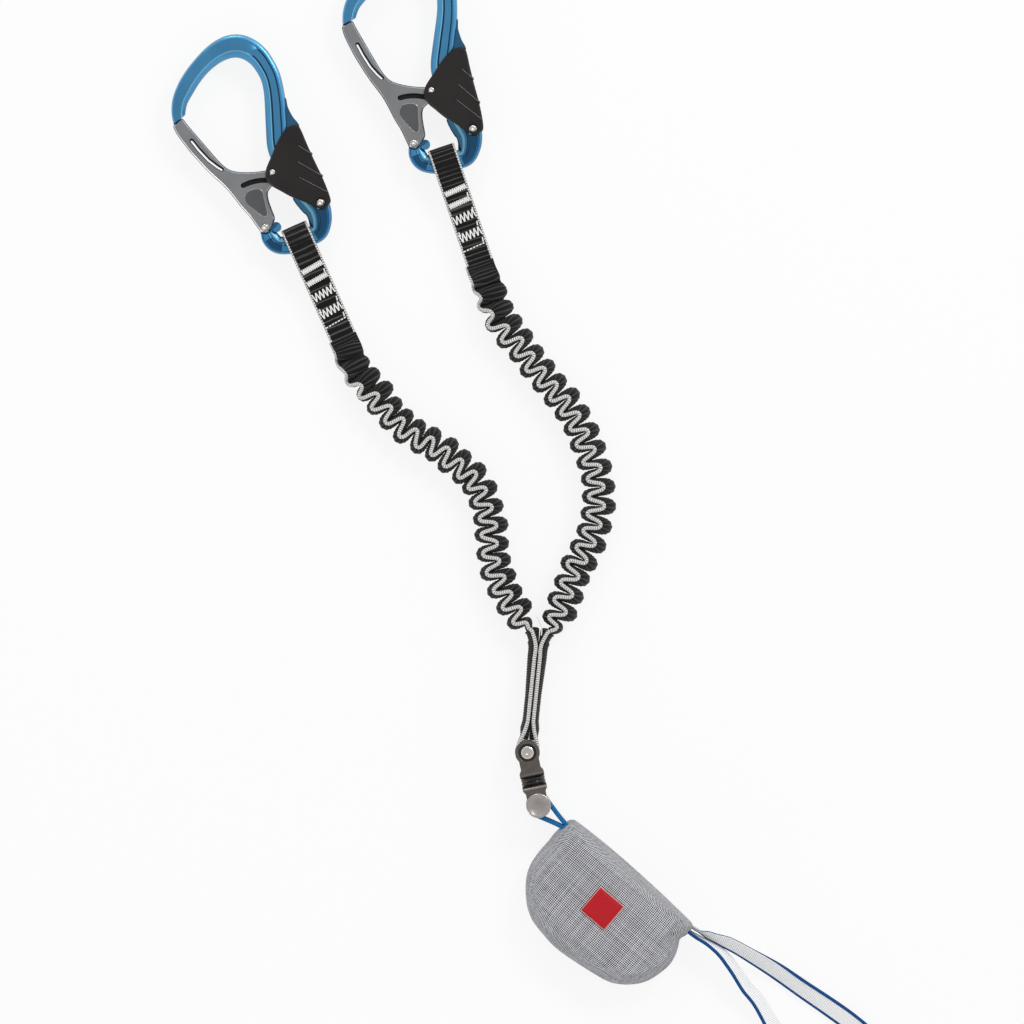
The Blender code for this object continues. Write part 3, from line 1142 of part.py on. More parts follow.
def tie_in_loop_mesh():
    """The loop that is hitched to a harness: flat webbing that stands on edge at the pouch and lies down beyond."""
    dense = smooth([Vector((x, y, 0)) for x, y in TIE_ROUTE], 12)
    points, runs, length = spaced(dense, 3 * TIE_WIDTH / 4)
    up = Vector((0, 0, 1))
    rings = []
    count = len(points) - 1
    for i, (point, run) in enumerate(zip(points, runs)):
        share = i / count
        roll = math.radians(90) * along(TIE_ROLL_SHARES, share)
        aside = run.cross(up).normalized()
        width_axis = aside * math.cos(roll) + up * math.sin(roll)
        rest = TIE_WIDTH / 2 * math.sin(roll) + TIE_THICKNESS / 2 * abs(math.cos(roll)) + FLOOR_CLEARANCE
        lift = along(TIE_REST_SHARES, share)
        centre = point + up * (rest + (SWIVEL_HEIGHT - rest) * lift)
        levels = [centre + width_axis * z * TIE_WIDTH / 2 for z in (-1, 0, 1)]
        half = TIE_THICKNESS / 2
        rings.append(webbing_ring(levels, width_axis, (run, run), (TIE_THICKNESS, half, half)))
    print(f"tie_in_loop: {length * 1000:.0f} mm of webbing")
    return loft(rings)


def loop_tail(eye, angle, beyond=0.0):
    """Where the sewn tail of an end loop ends."""
    turn = math.radians(angle)
    reach = SEWN_LENGTH + beyond
    return (eye[0] + math.sin(turn) * reach, eye[1] - math.cos(turn) * reach)


def build():
    meshes = carabiner_meshes()
    sides = (
        ("left", LEFT_EYE, LEFT_CARABINER_ANGLE, LEFT_LOOP_ANGLE, LEFT_PLEATS, LEFT_ARM_ROUTE, -1),
        ("right", RIGHT_EYE, RIGHT_CARABINER_ANGLE, RIGHT_LOOP_ANGLE, RIGHT_PLEATS, RIGHT_ARM_ROUTE, 1),
    )
    for side, eye, angle, loop_angle, pleats, route, sign in sides:
        carabiner = frame(f"{side}_carabiner_frame", (*eye, LOOP_HEIGHT), angle)
        pivots = {
            GATE_PIVOT: frame(f"{side}_gate_pivot", (*GATE_PIVOT, 0), 0, carabiner),
            LEVER_PIVOT: frame(f"{side}_lever_pivot", (*LEVER_PIVOT, 0), 0, carabiner),
        }
        for name, mesh, paint, pivot in meshes:
            obj = piece(f"{side}_{name}", mesh, paint, pivots.get(pivot, carabiner))
            if pivot:
                obj.location = (-pivot[0], -pivot[1], 0)
        sewn = frame(f"{side}_loop_frame", (*eye, LOOP_HEIGHT), loop_angle)
        piece(f"{side}_end_loop", end_loop_mesh(), BLACK_WEBBING, sewn)
        start = loop_tail(eye, loop_angle, WRAP_GAP)
        turn = math.radians(loop_angle)
        start_run = Vector((math.sin(turn), -math.cos(turn), 0))
        end, end_run = stem_end(sign, ARM_GAP)
        arm = pleated_arm_mesh(f"{side}_elastic_arm", pleats, route, start, start_run, end, -end_run)
        piece(f"{side}_elastic_arm", arm, BLACK_WEBBING, None)
    piece("stem_webbing", stem_mesh(), BLACK_WEBBING, None)
    lower = frame("lower_swivel_frame", (0, 0, SWIVEL_HEIGHT), SWIVEL_ANGLE)
    upper = frame("upper_swivel_frame", (0, 0, SWIVEL_HEIGHT), SWIVEL_ANGLE)
    swivel_pieces(lower, upper)
    piece("absorber_loop", absorber_loop_mesh(), WHITE_WEBBING, None)
    piece("absorber_pack", absorber_pack_mesh(), WHITE_WEBBING, None)
    piece("pouch", pouch_mesh(), POUCH_FABRIC, None)
    piece("pouch_patch", patch_mesh(), PATCH_FABRIC, None)
    piece("tie_in_loop", tie_in_loop_mesh(), WHITE_WEBBING, None)
    for name, point in (("gate pivot", GATE_PIVOT), ("lever pivot", LEVER_PIVOT)):
        print(name, *(
            f"{side} ({x * 1000:.2f}, {y * 1000:.2f}) mm"
            for side, x, y in (
                (s, *(Matrix.Rotation(math.radians(a), 2) @ Vector(point) + Vector(e))) for s, e, a, *_ in sides
            )
        ))


build()
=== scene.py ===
"""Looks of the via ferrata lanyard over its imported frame. Metres, +Z up, seen from straight above, as it lies."""

import math

import bmesh
import bpy
from mathutils import Matrix, Vector, noise


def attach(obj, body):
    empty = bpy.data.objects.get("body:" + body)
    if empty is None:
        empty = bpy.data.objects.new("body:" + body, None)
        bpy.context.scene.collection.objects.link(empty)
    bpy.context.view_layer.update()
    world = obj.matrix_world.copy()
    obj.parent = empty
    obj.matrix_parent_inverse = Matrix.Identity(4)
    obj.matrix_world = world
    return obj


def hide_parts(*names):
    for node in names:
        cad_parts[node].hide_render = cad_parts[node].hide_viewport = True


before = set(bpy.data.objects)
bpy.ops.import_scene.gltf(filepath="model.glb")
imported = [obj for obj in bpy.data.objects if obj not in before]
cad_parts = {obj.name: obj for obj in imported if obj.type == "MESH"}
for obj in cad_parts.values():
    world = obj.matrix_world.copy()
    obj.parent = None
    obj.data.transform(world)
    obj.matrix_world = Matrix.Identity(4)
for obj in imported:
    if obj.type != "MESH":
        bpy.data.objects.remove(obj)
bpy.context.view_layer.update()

# Camera: straight above, with a long lens. One pixel of the photograph is this long on the lanyard.
PIXEL = 0.00058
PICTURE_SIDE = 1024
PIN_PIXEL = (538.4, 805.1)
CAMERA_HEIGHT = 5.0
SENSOR = 36.0

# Clearances that every piece shares
GAP = 0.0003
CUT_OVERRUN = 0.004
FLOOR_CLEARANCE = 0.0002

# Carabiner: in-plane outlines are shares of its length, seen from the bar that the sewn loop goes round
CARABINER_LENGTH = 0.132
BAR_WIDTH = 0.0134
BAR_THICKNESS = 0.0105
CHANNEL_DEPTH = 0.0009
WEB_THICKNESS = 0.0052
GUSSET_THICKNESS = 0.0052
NOSE_GAP = 0.0004
TONGUE_LENGTH = 0.0026
TONGUE_THICKNESS = 0.0028
KEYLOCK_CLEARANCE = 0.0004
LUG_RADIUS = 0.0034
FORK_REACH = 0.0120
HUMP_RADIUS = 0.0029
BODY_STATION_SHARES = (  # across, along, width, thickness, channel
    (-0.284, 0.655, 0.52, 0.86, 0.0),
    (-0.273, 0.695, 0.54, 0.88, 0.0),
    (-0.261, 0.733, 0.60, 0.92, 0.0),
    (-0.234, 0.777, 0.67, 0.96, 0.0),
    (-0.190, 0.817, 0.76, 1.00, 0.0),
    (-0.142, 0.851, 0.78, 1.00, 0.0),
    (-0.091, 0.878, 0.79, 1.00, 0.0),
    (-0.039, 0.898, 0.85, 1.00, 0.0),
    (0.011, 0.909, 0.92, 1.00, 0.0),
    (0.061, 0.908, 0.98, 1.00, 0.0),
    (0.103, 0.892, 1.00, 1.00, 0.0),
    (0.136, 0.861, 0.97, 1.00, 0.1),
    (0.159, 0.819, 0.93, 1.00, 0.5),
    (0.170, 0.770, 0.89, 1.00, 1.0),
    (0.173, 0.717, 0.87, 1.00, 1.0),
    (0.164, 0.663, 0.87, 1.00, 1.0),
    (0.147, 0.605, 0.91, 0.98, 1.0),
    (0.127, 0.551, 0.94, 0.94, 1.0),
    (0.104, 0.490, 0.94, 0.89, 1.0),
    (0.083, 0.433, 0.94, 0.89, 1.0),
    (0.077, 0.388, 0.95, 0.89, 0.8),
    (0.087, 0.339, 0.97, 0.89, 0.6),
    (0.101, 0.286, 1.01, 0.89, 0.5),
    (0.106, 0.233, 1.12, 0.89, 0.5),
    (0.107, 0.183, 1.22, 0.89, 0.5),
    (0.121, 0.136, 1.26, 0.89, 0.5),
    (0.127, 0.094, 1.13, 0.89, 0.6),
    (0.116, 0.046, 0.99, 0.89, 0.6),
    (0.089, 0.008, 0.84, 0.89, 0.4),
    (0.039, 0.002, 0.79, 0.89, 0.0),
    (0.000, 0.001, 0.79, 0.89, 0.0),
    (-0.047, 0.004, 0.78, 0.89, 0.0),
    (-0.096, 0.026, 0.75, 0.89, 0.4),
    (-0.114, 0.066, 0.75, 0.89, 0.2),
    (-0.115, 0.116, 0.51, 0.89, 0.0),
)
GATE_PIVOT_SHARE = (-0.117, 0.119)
LEVER_PIVOT_SHARE = (0.150, 0.119)
LOCK_SHARE = (0.012, 0.326)
HUMP_SHARE = (-0.071, 0.100)
NOSE_JOINT_SHARES = ((-0.360, 0.678), (-0.180, 0.730))
NOSE_FOOT_SHARE = 0.60
TONGUE_SHARES = (-0.298, -0.269)
KEYLOCK_WALL_SHARE = -0.264
GUSSET_SHARES = (
    (0.195, 0.605), (0.189, 0.561), (0.192, 0.513), (0.201, 0.480), (0.196, 0.464), (0.137, 0.463),
    (0.114, 0.498), (0.152, 0.619),
)
SWEEP_ANGLES = (19.5, 75.0)
MOUTH_ANGLES = (22.0, 52.0)

# Gate, and the lock that the lever works
GATE_THICKNESS = 0.0092
GATE_EDGE = 0.0009
GATE_OPENING_ANGLE = 28.0
FORK_SLOT = 0.0060
ARM_END_WALL = 0.0035
GROOVE_WIDTH = 0.0030
GROOVE_DEPTH = 0.0020
GROOVE_RADIUS = 0.0272
GROOVE_ANGLES = (59.0, 93.5)
FORK_ANGLES = (30.0, 93.0)
LUG_SLOT_ANGLES = (-170.0, 38.0)
WEB_RADIUS = 0.0298
WINDOW_WIDTH = 0.0026
POCKET_DEPTH = 0.0005
GATE_SHARES = (
    (-0.306, 0.652), (-0.298, 0.611), (-0.280, 0.541), (-0.245, 0.440), (-0.207, 0.352), (-0.190, 0.295),
    (-0.177, 0.242), (-0.159, 0.186), (-0.148, 0.133), (-0.139, 0.102), (-0.117, 0.091), (-0.095, 0.101),
    (-0.077, 0.119), (-0.061, 0.140), (-0.058, 0.167), (-0.054, 0.220), (-0.042, 0.255), (-0.013, 0.274),
    (0.015, 0.292), (0.035, 0.311), (0.036, 0.334), (0.023, 0.350), (0.003, 0.351), (-0.011, 0.345),
    (-0.080, 0.367), (-0.145, 0.402), (-0.176, 0.446), (-0.203, 0.527), (-0.227, 0.607), (-0.245, 0.667),
)
GATE_NOSE_SHARES = (-0.307, -0.254)
WINDOW_SHARES = ((-0.257, 0.596), (-0.244, 0.547), (-0.224, 0.490), (-0.201, 0.448), (-0.187, 0.428))
POCKET_SHARES = (
    (-0.136, 0.288), (-0.094, 0.293), (-0.063, 0.273), (-0.069, 0.227), (-0.083, 0.165), (-0.105, 0.165),
    (-0.129, 0.206), (-0.150, 0.250),
)
GATE_BORE_RADIUS = 0.0020
GATE_BORE_DEPTH = 0.0172

# Palm lever
LEVER_THICKNESS = 0.0148
LEVER_PLATE = 0.0023
LEVER_WALL = 0.0014
LEVER_EDGE = 0.0011
LEVER_SHARES = (
    (0.120, 0.464), (0.158, 0.479), (0.194, 0.473), (0.201, 0.448), (0.200, 0.384), (0.200, 0.320),
    (0.203, 0.220), (0.198, 0.126), (0.184, 0.099), (0.155, 0.087), (0.128, 0.103), (0.088, 0.148),
    (0.044, 0.195), (0.008, 0.242), (-0.017, 0.276), (-0.027, 0.308), (-0.018, 0.333), (-0.002, 0.357),
    (0.039, 0.395), (0.073, 0.428),
)
PALM_WALL_SHARES = ((0.201, 0.451), (0.200, 0.384), (0.200, 0.320), (0.203, 0.220), (0.203, 0.208))
RIDGE_SHARES = (
    ((0.155, 0.397), (0.200, 0.332)), ((0.123, 0.335), (0.203, 0.225)), ((0.100, 0.270), (0.196, 0.150)),
)
RIDGE_HEIGHT = 0.0004
RIVET_RADIUS = 0.0019
RIVET_PROUD = 0.0003
RIVET_RECESS_RADIUS = 0.0033
RIVET_RECESS_DEPTH = 0.0005
LOCK_STUD_RADIUS = 0.0016
LEVER_SPRING_WIRE = 0.0008
LEVER_SPRING_RADIUS = 0.0036
LEVER_SPRING_PITCH = 0.0013
LEVER_SPRING_TURNS = 2

# Webbing of the arms: sewn end loops, pleated tubes and the stem
WEBBING_WIDTH = 0.016
WEBBING_THICKNESS = 0.0018
LOOP_OUTER_RADIUS = 0.0100
SEWN_LENGTH = 0.061
LOOP_NECK = 0.026
SEAM_THICKNESS = 0.0039
LEFT_PLEATS = 20
RIGHT_PLEATS = 22
PLEAT_EDGE_SWING = 0.0045
PLEAT_BELLY_SWING = 0.0076
PLEAT_LEAN = 0.0015
PLEAT_FULLNESS_SHARE = 0.36
PLEAT_EDGE_FULLNESS_SHARE = 0.08
FACE_UP_SWING_SHARE = 0.45
PLEAT_FLATNESS_SHARE = 0.05
PLEAT_EDGE_THICKNESS = 0.0022
POINTS_A_PLEAT = 90
ARM_TWIST_LENGTH = 0.056
ARM_GATHER_LENGTH = 0.012
ARM_END_LENGTH = 0.010
ARM_LEAD_LENGTH = 0.006
CROTCH_LEAD_LENGTH = 0.004
STEM_SPREAD = 0.0019
STEM_EDGE_THICKNESS = 0.0024
STEM_BELLY_OUT = 0.0042
STEM_FLARE = 0.0042
STEM_FLARE_LENGTH = 0.0050
STEM_FLARE_ANGLE = 42.0
CROTCH = (0.0004, 0.0965)
LEFT_EYE = (-0.1381, 0.3270)
RIGHT_EYE = (-0.0535, 0.3724)
LEFT_CARABINER_ANGLE = 23.9
RIGHT_CARABINER_ANGLE = 13.5
LEFT_LOOP_ANGLE = 24.0
RIGHT_LOOP_ANGLE = 18.7
LEFT_ARM_ROUTE = (
    (-0.1062, 0.2540), (-0.0943, 0.2393), (-0.0836, 0.2250), (-0.0723, 0.2153),
    (-0.0597, 0.2087), (-0.0490, 0.2000), (-0.0378, 0.1901), (-0.0316, 0.1782), (-0.0274, 0.1622),
    (-0.0266, 0.1477), (-0.0238, 0.1346), (-0.0184, 0.1222), (-0.0120, 0.1115),
)
RIGHT_ARM_ROUTE = (
    (-0.0276, 0.2976), (-0.0235, 0.2857), (-0.0166, 0.2748), (-0.0071, 0.2624), (0.0014, 0.2509),
    (0.0106, 0.2401), (0.0187, 0.2294), (0.0247, 0.2187), (0.0287, 0.2079), (0.0326, 0.1979),
    (0.0348, 0.1848), (0.0347, 0.1701), (0.0316, 0.1575), (0.0270, 0.1464), (0.0218, 0.1368),
    (0.0180, 0.1260), (0.0135, 0.1140),
)

# Swivel
SWIVEL_ANGLE = 11.776
CLEVIS_GAP = 0.0168
CLEVIS_PLATE = 0.0020
CLEVIS_EAR_RADIUS = 0.0072
CLEVIS_NECK = 0.0116
CLEVIS_WIDTH = 0.0142
CLEVIS_BEND = 0.0030
CLEVIS_BASE = 0.0025
LOWER_BASE_REACH = 0.0121
UPPER_BASE_REACH = 0.0144
PIN_RADIUS = 0.0030
PIN_CLEARANCE = 0.0003
PIN_HEAD = 0.0010
UPPER_RECESS_RADIUS = 0.0052
UPPER_RECESS_DEPTH = 0.0009
BUSH_WALL = 0.0009
WRAP_GAP = 0.0005
SWIVEL_RIVET_RADIUS = 0.0022
WASHER_RADIUS = 0.0070
WASHER_THICKNESS = 0.00198
WASHER_HOLE_CLEARANCE = 0.0004

# Absorber, pouch and tie-in loop
ABSORBER_WIDTH = 0.0160
ABSORBER_THICKNESS = 0.0022
ABSORBER_APEX = (0.0143, -0.0112)
ABSORBER_TAIL = 0.0200
POUCH_CORNER = (0.0217, -0.0078)
POUCH_ANGLE = -40.4
POUCH_LENGTH = 0.0923
POUCH_THICKNESS = 0.0260
POUCH_SHARES = (  # along the straight edge, and across from it, as shares of the edge's length
    (-0.048, 0.030), (-0.036, 0.006), (0.000, 0.000), (0.200, -0.003), (0.400, -0.004), (0.600, -0.004),
    (0.800, -0.003), (1.000, 0.000), (1.020, 0.046), (1.028, 0.092), (1.010, 0.140), (1.040, 0.190),
    (1.068, 0.280), (1.068, 0.359), (1.024, 0.496), (0.951, 0.588), (0.839, 0.660), (0.698, 0.685),
    (0.572, 0.700), (0.420, 0.713), (0.278, 0.695), (0.174, 0.668), (0.077, 0.600), (-0.009, 0.499),
    (-0.048, 0.406), (-0.054, 0.307), (-0.048, 0.212), (-0.056, 0.130),
)
POUCH_CENTRE_SHARE = (0.50, 0.30)
PATCH_SIDE = 0.0180
PATCH_THICKNESS = 0.0008
PATCH_CENTRE_SHARE = (0.487, 0.318)
TIE_WIDTH = 0.0120
TIE_THICKNESS = 0.0016
TIE_ROUTE = (  # from the pouch along the upper strand, round the far bend and back along the lower strand
    (0.0835, -0.0655), (0.0908, -0.0717), (0.1000, -0.0757), (0.1111, -0.0803), (0.1210, -0.0858),
    (0.1372, -0.0957), (0.1529, -0.1067), (0.1691, -0.1177), (0.1819, -0.1270), (0.1960, -0.1390),
    (0.2110, -0.1530), (0.2240, -0.1680), (0.2330, -0.1840), (0.2370, -0.2000), (0.2340, -0.2140),
    (0.2240, -0.2240), (0.2100, -0.2270), (0.1960, -0.2220), (0.1840, -0.2110), (0.1750, -0.1970),
    (0.1670, -0.1820), (0.1580, -0.1660), (0.1490, -0.1500), (0.1410, -0.1370), (0.1378, -0.1310),
    (0.1282, -0.1142), (0.1210, -0.1055), (0.1143, -0.0956), (0.1076, -0.0869), (0.1000, -0.0810),
    (0.0888, -0.0742), (0.0812, -0.0682),
)
TIE_ROLL_SHARES = (  # 1 is on edge and 2 is flat
    (0.00, 1.00), (0.024, 1.03), (0.042, 1.28), (0.070, 1.48), (0.15, 1.66), (0.25, 1.80), (0.40, 2.00),
    (0.60, 2.00), (0.70, 1.80), (0.80, 1.62), (0.856, 1.51), (0.916, 1.36), (0.965, 1.10), (1.00, 1.00),
)
TIE_REST_SHARES = ((0.00, 1.0), (0.04, 0.9), (0.16, 0.0), (0.84, 0.0), (0.96, 0.9), (1.00, 1.0))

ROUND_STEPS = 48
CURVE_STEPS = 8
LEAST_TURN = 2.2
WELD_DISTANCE = 1e-6

LOOP_HEIGHT = LOOP_OUTER_RADIUS + FLOOR_CLEARANCE
ARM_HEIGHT = WEBBING_WIDTH / 2 + FLOOR_CLEARANCE
SWIVEL_HEIGHT = CLEVIS_GAP / 2 + CLEVIS_PLATE + GAP + PIN_HEAD
SWIVEL_SPAN = LOWER_BASE_REACH + UPPER_BASE_REACH + 2 * WASHER_THICKNESS + 3 * GAP
UPPER_PIN = (
    -SWIVEL_SPAN * math.sin(math.radians(SWIVEL_ANGLE)), SWIVEL_SPAN * math.cos(math.radians(SWIVEL_ANGLE)),
)
UP = Vector((0, 0, 1))
LYING = Matrix.Rotation(math.radians(-90), 4, "X")
LEVER_HALF = LEVER_THICKNESS / 2
LEVER_SLOT_HALF = LEVER_HALF - LEVER_PLATE
BUSH_RADIUS = PIN_RADIUS + PIN_CLEARANCE + BUSH_WALL


def linked(name, data):
    """A new object in the scene."""
    obj = bpy.data.objects.new(name, data)
    bpy.context.scene.collection.objects.link(obj)
    return obj


def make_camera():
    middle = PICTURE_SIDE / 2
    data = bpy.data.cameras.new("camera")
    data.sensor_width = SENSOR
    data.lens = SENSOR * (CAMERA_HEIGHT - SWIVEL_HEIGHT) / (PICTURE_SIDE * PIXEL)
    data.clip_end = 4 * CAMERA_HEIGHT
    camera = linked("camera", data)
    camera.location = ((middle - PIN_PIXEL[0]) * PIXEL, (PIN_PIXEL[1] - middle) * PIXEL, CAMERA_HEIGHT)
    bpy.context.scene.camera = camera


make_camera()


class Nodes:
    """A node tree, with short calls to add nodes and join them."""

    def __init__(self, tree):
        self.tree = tree

    def add(self, kind, values=(), **settings):
        node = self.tree.nodes.new("ShaderNode" + kind)
        for setting, value in settings.items():
            setattr(node, setting, value)
        for socket, value in dict(values).items():
            if isinstance(value, bpy.types.NodeSocket):
                self.tree.links.new(value, node.inputs[socket])
            else:
                node.inputs[socket].default_value = value
        return node

    def math(self, operation, first, second=0.0, third=None, clamp=False):
        values = {0: first, 1: second}
        if third is not None:
            values[2] = third
        return self.add("Math", values, operation=operation, use_clamp=clamp).outputs[0]

    def ramp(self, fac, stops):
        node = self.add("ValToRGB", {"Fac": fac})
        elements = node.color_ramp.elements
        while len(elements) < len(stops):
            elements.new(0.5)
        for element, (place, colour) in zip(elements, stops):
            element.position = place
            element.color = (*colour, 1.0) if isinstance(colour, tuple) else (colour, colour, colour, 1.0)
        return node.outputs["Color"]

    def mix(self, fac, first, second, blend="MIX"):
        node = self.add("Mix", data_type="RGBA", blend_type=blend)
        for socket, value in ((node.inputs["Factor"], fac), (node.inputs[6], first), (node.inputs[7], second)):
            if isinstance(value, bpy.types.NodeSocket):
                self.tree.links.new(value, socket)
            elif isinstance(value, tuple):
                socket.default_value = (*value, 1.0)
            else:
                socket.default_value = value
        return node.outputs[2]

    def uv(self):
        """Metres along and across a strip, as made by the strip builders."""
        node = self.add("UVMap", uv_map="strip")
        parts = self.add("SeparateXYZ", {0: node.outputs[0]})
        return parts.outputs[0], parts.outputs[1]

    def place(self):
        return self.add("TexCoord").outputs["Object"]

    def height(self, middle):
        """Distance above or below a piece's middle plane."""
        z = self.add("SeparateXYZ", {0: self.place()}).outputs[2]
        return self.math("ABSOLUTE", self.math("SUBTRACT", z, middle))

    def noise(self, scale, detail, vector=None):
        values = {"Scale": scale, "Detail": detail, "Vector": vector if vector is not None else self.place()}
        return self.add("TexNoise", values).outputs["Fac"]

    def wave(self, along, period, shift=0.0):
        """A ridge pattern from 0 to 1 across each period."""
        turned = self.math("MULTIPLY_ADD", along, 2 * math.pi / period, shift)
        return self.math("MULTIPLY_ADD", self.math("SINE", turned), 0.5, 0.5)

    def bump(self, height, distance, strength):
        return self.add("Bump", {"Height": height, "Distance": distance, "Strength": strength}).outputs["Normal"]


class Look(Nodes):
    """A material, with the values of its shader that are the same all over it."""

    def __init__(self, name, **values):
        self.material = bpy.data.materials.new(name)
        self.material.use_nodes = True
        super().__init__(self.material.node_tree)
        self.shader = self.tree.nodes["Principled BSDF"]
        for socket, value in values.items():
            self.shader.inputs[socket.replace("_", " ")].default_value = value

    def set(self, socket, value):
        self.tree.links.new(value, self.shader.inputs[socket])


def tint(colour, share):
    return tuple(min(1, c * share) for c in colour)


def finished(work, name):
    """A bmesh made into a mesh."""
    mesh = bpy.data.meshes.new(name)
    work.to_mesh(mesh)
    work.free()
    return mesh


def evaluated_copy(obj):
    """The object's mesh with its modifiers applied, in the object's own space."""
    bpy.context.view_layer.update()
    mesh = bpy.data.meshes.new_from_object(obj.evaluated_get(bpy.context.evaluated_depsgraph_get()))
    obj.modifiers.clear()
    return mesh


def evaluated_mesh(obj):
    """The same, with the object removed."""
    mesh = evaluated_copy(obj)
    bpy.data.objects.remove(obj, do_unlink=True)
    return mesh


def weld(mesh, flat_caps=False):
    work = bmesh.new()
    work.from_mesh(mesh)
    bmesh.ops.remove_doubles(work, verts=work.verts, dist=WELD_DISTANCE)
    if flat_caps:
        bmesh.ops.dissolve_limit(work, angle_limit=math.radians(0.2), verts=work.verts, edges=work.edges)
    bmesh.ops.recalc_face_normals(work, faces=work.faces)
    work.to_mesh(mesh)
    work.free()
    return mesh


def outline_solid(loops, bottom, top, turn=None):
    """A flat outline, with any inner outlines as holes, extruded from bottom to top."""
    curve = bpy.data.curves.new("outline", "CURVE")
    curve.dimensions = "2D"
    curve.fill_mode = "BOTH"
    curve.extrude = (top - bottom) / 2
    for points in loops:
        spline = curve.splines.new("POLY")
        spline.points.add(len(points) - 1)
        for point, (x, y) in zip(spline.points, points):
            point.co = (x, y, 0, 1)
        spline.use_cyclic_u = True
    mesh = weld(evaluated_mesh(linked("outline", curve)), flat_caps=True)
    mesh.transform(Matrix.Translation((0, 0, (top + bottom) / 2)))
    if turn is not None:
        mesh.transform(turn)
    return mesh


def loft(rings):
    """A closed skin over rings of equal count, with flat caps at both ends."""
    count = len(rings[0])
    work = bmesh.new()
    rows = [[work.verts.new(point) for point in ring] for ring in rings]
    for row, following in zip(rows, rows[1:]):
        for i in range(count):
            j = (i + 1) % count
            work.faces.new((row[i], row[j], following[j], following[i]))
    work.faces.new(rows[0])
    work.faces.new(rows[-1])
    bmesh.ops.recalc_face_normals(work, faces=work.faces)
    return finished(work, "loft")


def cylinder(radius, bottom, top, centre=(0, 0), turn=None, steps=ROUND_STEPS):
    work = bmesh.new()
    bmesh.ops.create_cone(work, cap_ends=True, segments=steps, radius1=radius, radius2=radius, depth=top - bottom)
    mesh = finished(work, "cylinder")
    mesh.transform(Matrix.Translation((centre[0], centre[1], (top + bottom) / 2)))
    if turn is not None:
        mesh.transform(turn)
    return mesh


def turned(profile, closed=False):
    """A profile of radius and height, top to bottom, turned about Z with a Screw modifier."""
    mesh = bpy.data.meshes.new("profile")
    count = len(profile)
    edges = [(i, i + 1) for i in range(count - 1)] + ([(count - 1, 0)] if closed else [])
    mesh.from_pydata([(radius, 0, height) for radius, height in profile], edges, [])
    obj = linked("profile", mesh)
    screw = obj.modifiers.new("turn", "SCREW")
    screw.steps = screw.render_steps = ROUND_STEPS
    screw.use_merge_vertices = True
    screw.merge_threshold = WELD_DISTANCE
    return weld(evaluated_mesh(obj))


def shaped(base, steps, bevel=None):
    """The base mesh after Boolean steps: a list of ("UNION" or "DIFFERENCE" or "INTERSECT", mesh)."""
    obj = linked("base", base)
    if bevel:
        edge = obj.modifiers.new("edge", "BEVEL")
        edge.width = bevel
        edge.segments = 1
        edge.limit_method = "ANGLE"
        edge.angle_limit = math.radians(50)
        edge.use_clamp_overlap = False
    tools = []
    for operation, mesh in steps:
        tool = linked("cutter", mesh)
        tools.append(tool)
        boolean = obj.modifiers.new(operation.lower(), "BOOLEAN")
        boolean.operation = operation
        boolean.solver = "EXACT"
        boolean.object = tool
    mesh = evaluated_mesh(obj)
    for tool in tools:
        bpy.data.objects.remove(tool, do_unlink=True)
    return mesh


def smooth(points, steps=CURVE_STEPS, closed=False):
    """Points on a Catmull-Rom curve through the given ones."""
    points = [Vector(p) for p in points]
    count = len(points)
    if closed:
        padded = [points[-1], *points, points[0], points[1]]
        runs = count
    else:
        padded = [2 * points[0] - points[1], *points, 2 * points[-1] - points[-2]]
        runs = count - 1
    found = []
    for i in range(runs):
        a, b, c, d = padded[i:i + 4]
        for k in range(steps):
            t = k / steps
            found.append(
                0.5 * (2 * b + (c - a) * t + (2 * a - 5 * b + 4 * c - d) * t ** 2 + (3 * b - a - 3 * c + d) * t ** 3)
            )
    if not closed:
        found.append(points[-1])
    return found


def thinned(points, closed=False):
    """The points of a smooth line that its turns need, with the ends kept."""
    kept = [points[0]]
    turned_by = 0.0
    for before, point, after in zip(points, points[1:], points[2:]):
        first = Vector((point[0] - before[0], point[1] - before[1]))
        second = Vector((after[0] - point[0], after[1] - point[1]))
        turned_by += abs(math.degrees(first.angle_signed(second)))
        if turned_by >= LEAST_TURN:
            kept.append(point)
            turned_by = 0.0
    if not closed:
        kept.append(points[-1])
    return kept


def rounded_outline(shares):
    """A closed smooth outline in the carabiner's plane, from shares of its length."""
    return [(p[0], p[1]) for p in thinned(smooth([at(s) for s in shares], closed=True), closed=True)]


def clamped(share):
    return min(1, max(0, share))


def eased(share):
    """A share with a soft start and a soft end."""
    share = clamped(share)
    return share * share * (3 - 2 * share)


def along(shares, share):
    """The value at a share of the way, from a table of (share, value) pairs."""
    for (a, first), (b, second) in zip(shares, shares[1:]):
        if share <= b:
            return first + (second - first) * eased((share - a) / (b - a))
    return shares[-1][1]


def arc(centre, radius, start, end, steps=8):
    return [
        (centre[0] + radius * math.cos(a), centre[1] + radius * math.sin(a))
        for a in (math.radians(start + (end - start) * k / steps) for k in range(steps + 1))
    ]


def sector(centre, inner, outer, start, end, bottom, top):
    """A slice of a ring, or of a disc where inner is zero."""
    steps = max(2, round(abs(end - start) / 6))
    inside = arc(centre, inner, end, start, steps) if inner else [tuple(centre)]
    return outline_solid([arc(centre, outer, start, end, steps) + inside], bottom, top)


def at(share):
    """A place in the carabiner's plane, from its share of the carabiner's length."""
    return (share[0] * CARABINER_LENGTH, share[1] * CARABINER_LENGTH)


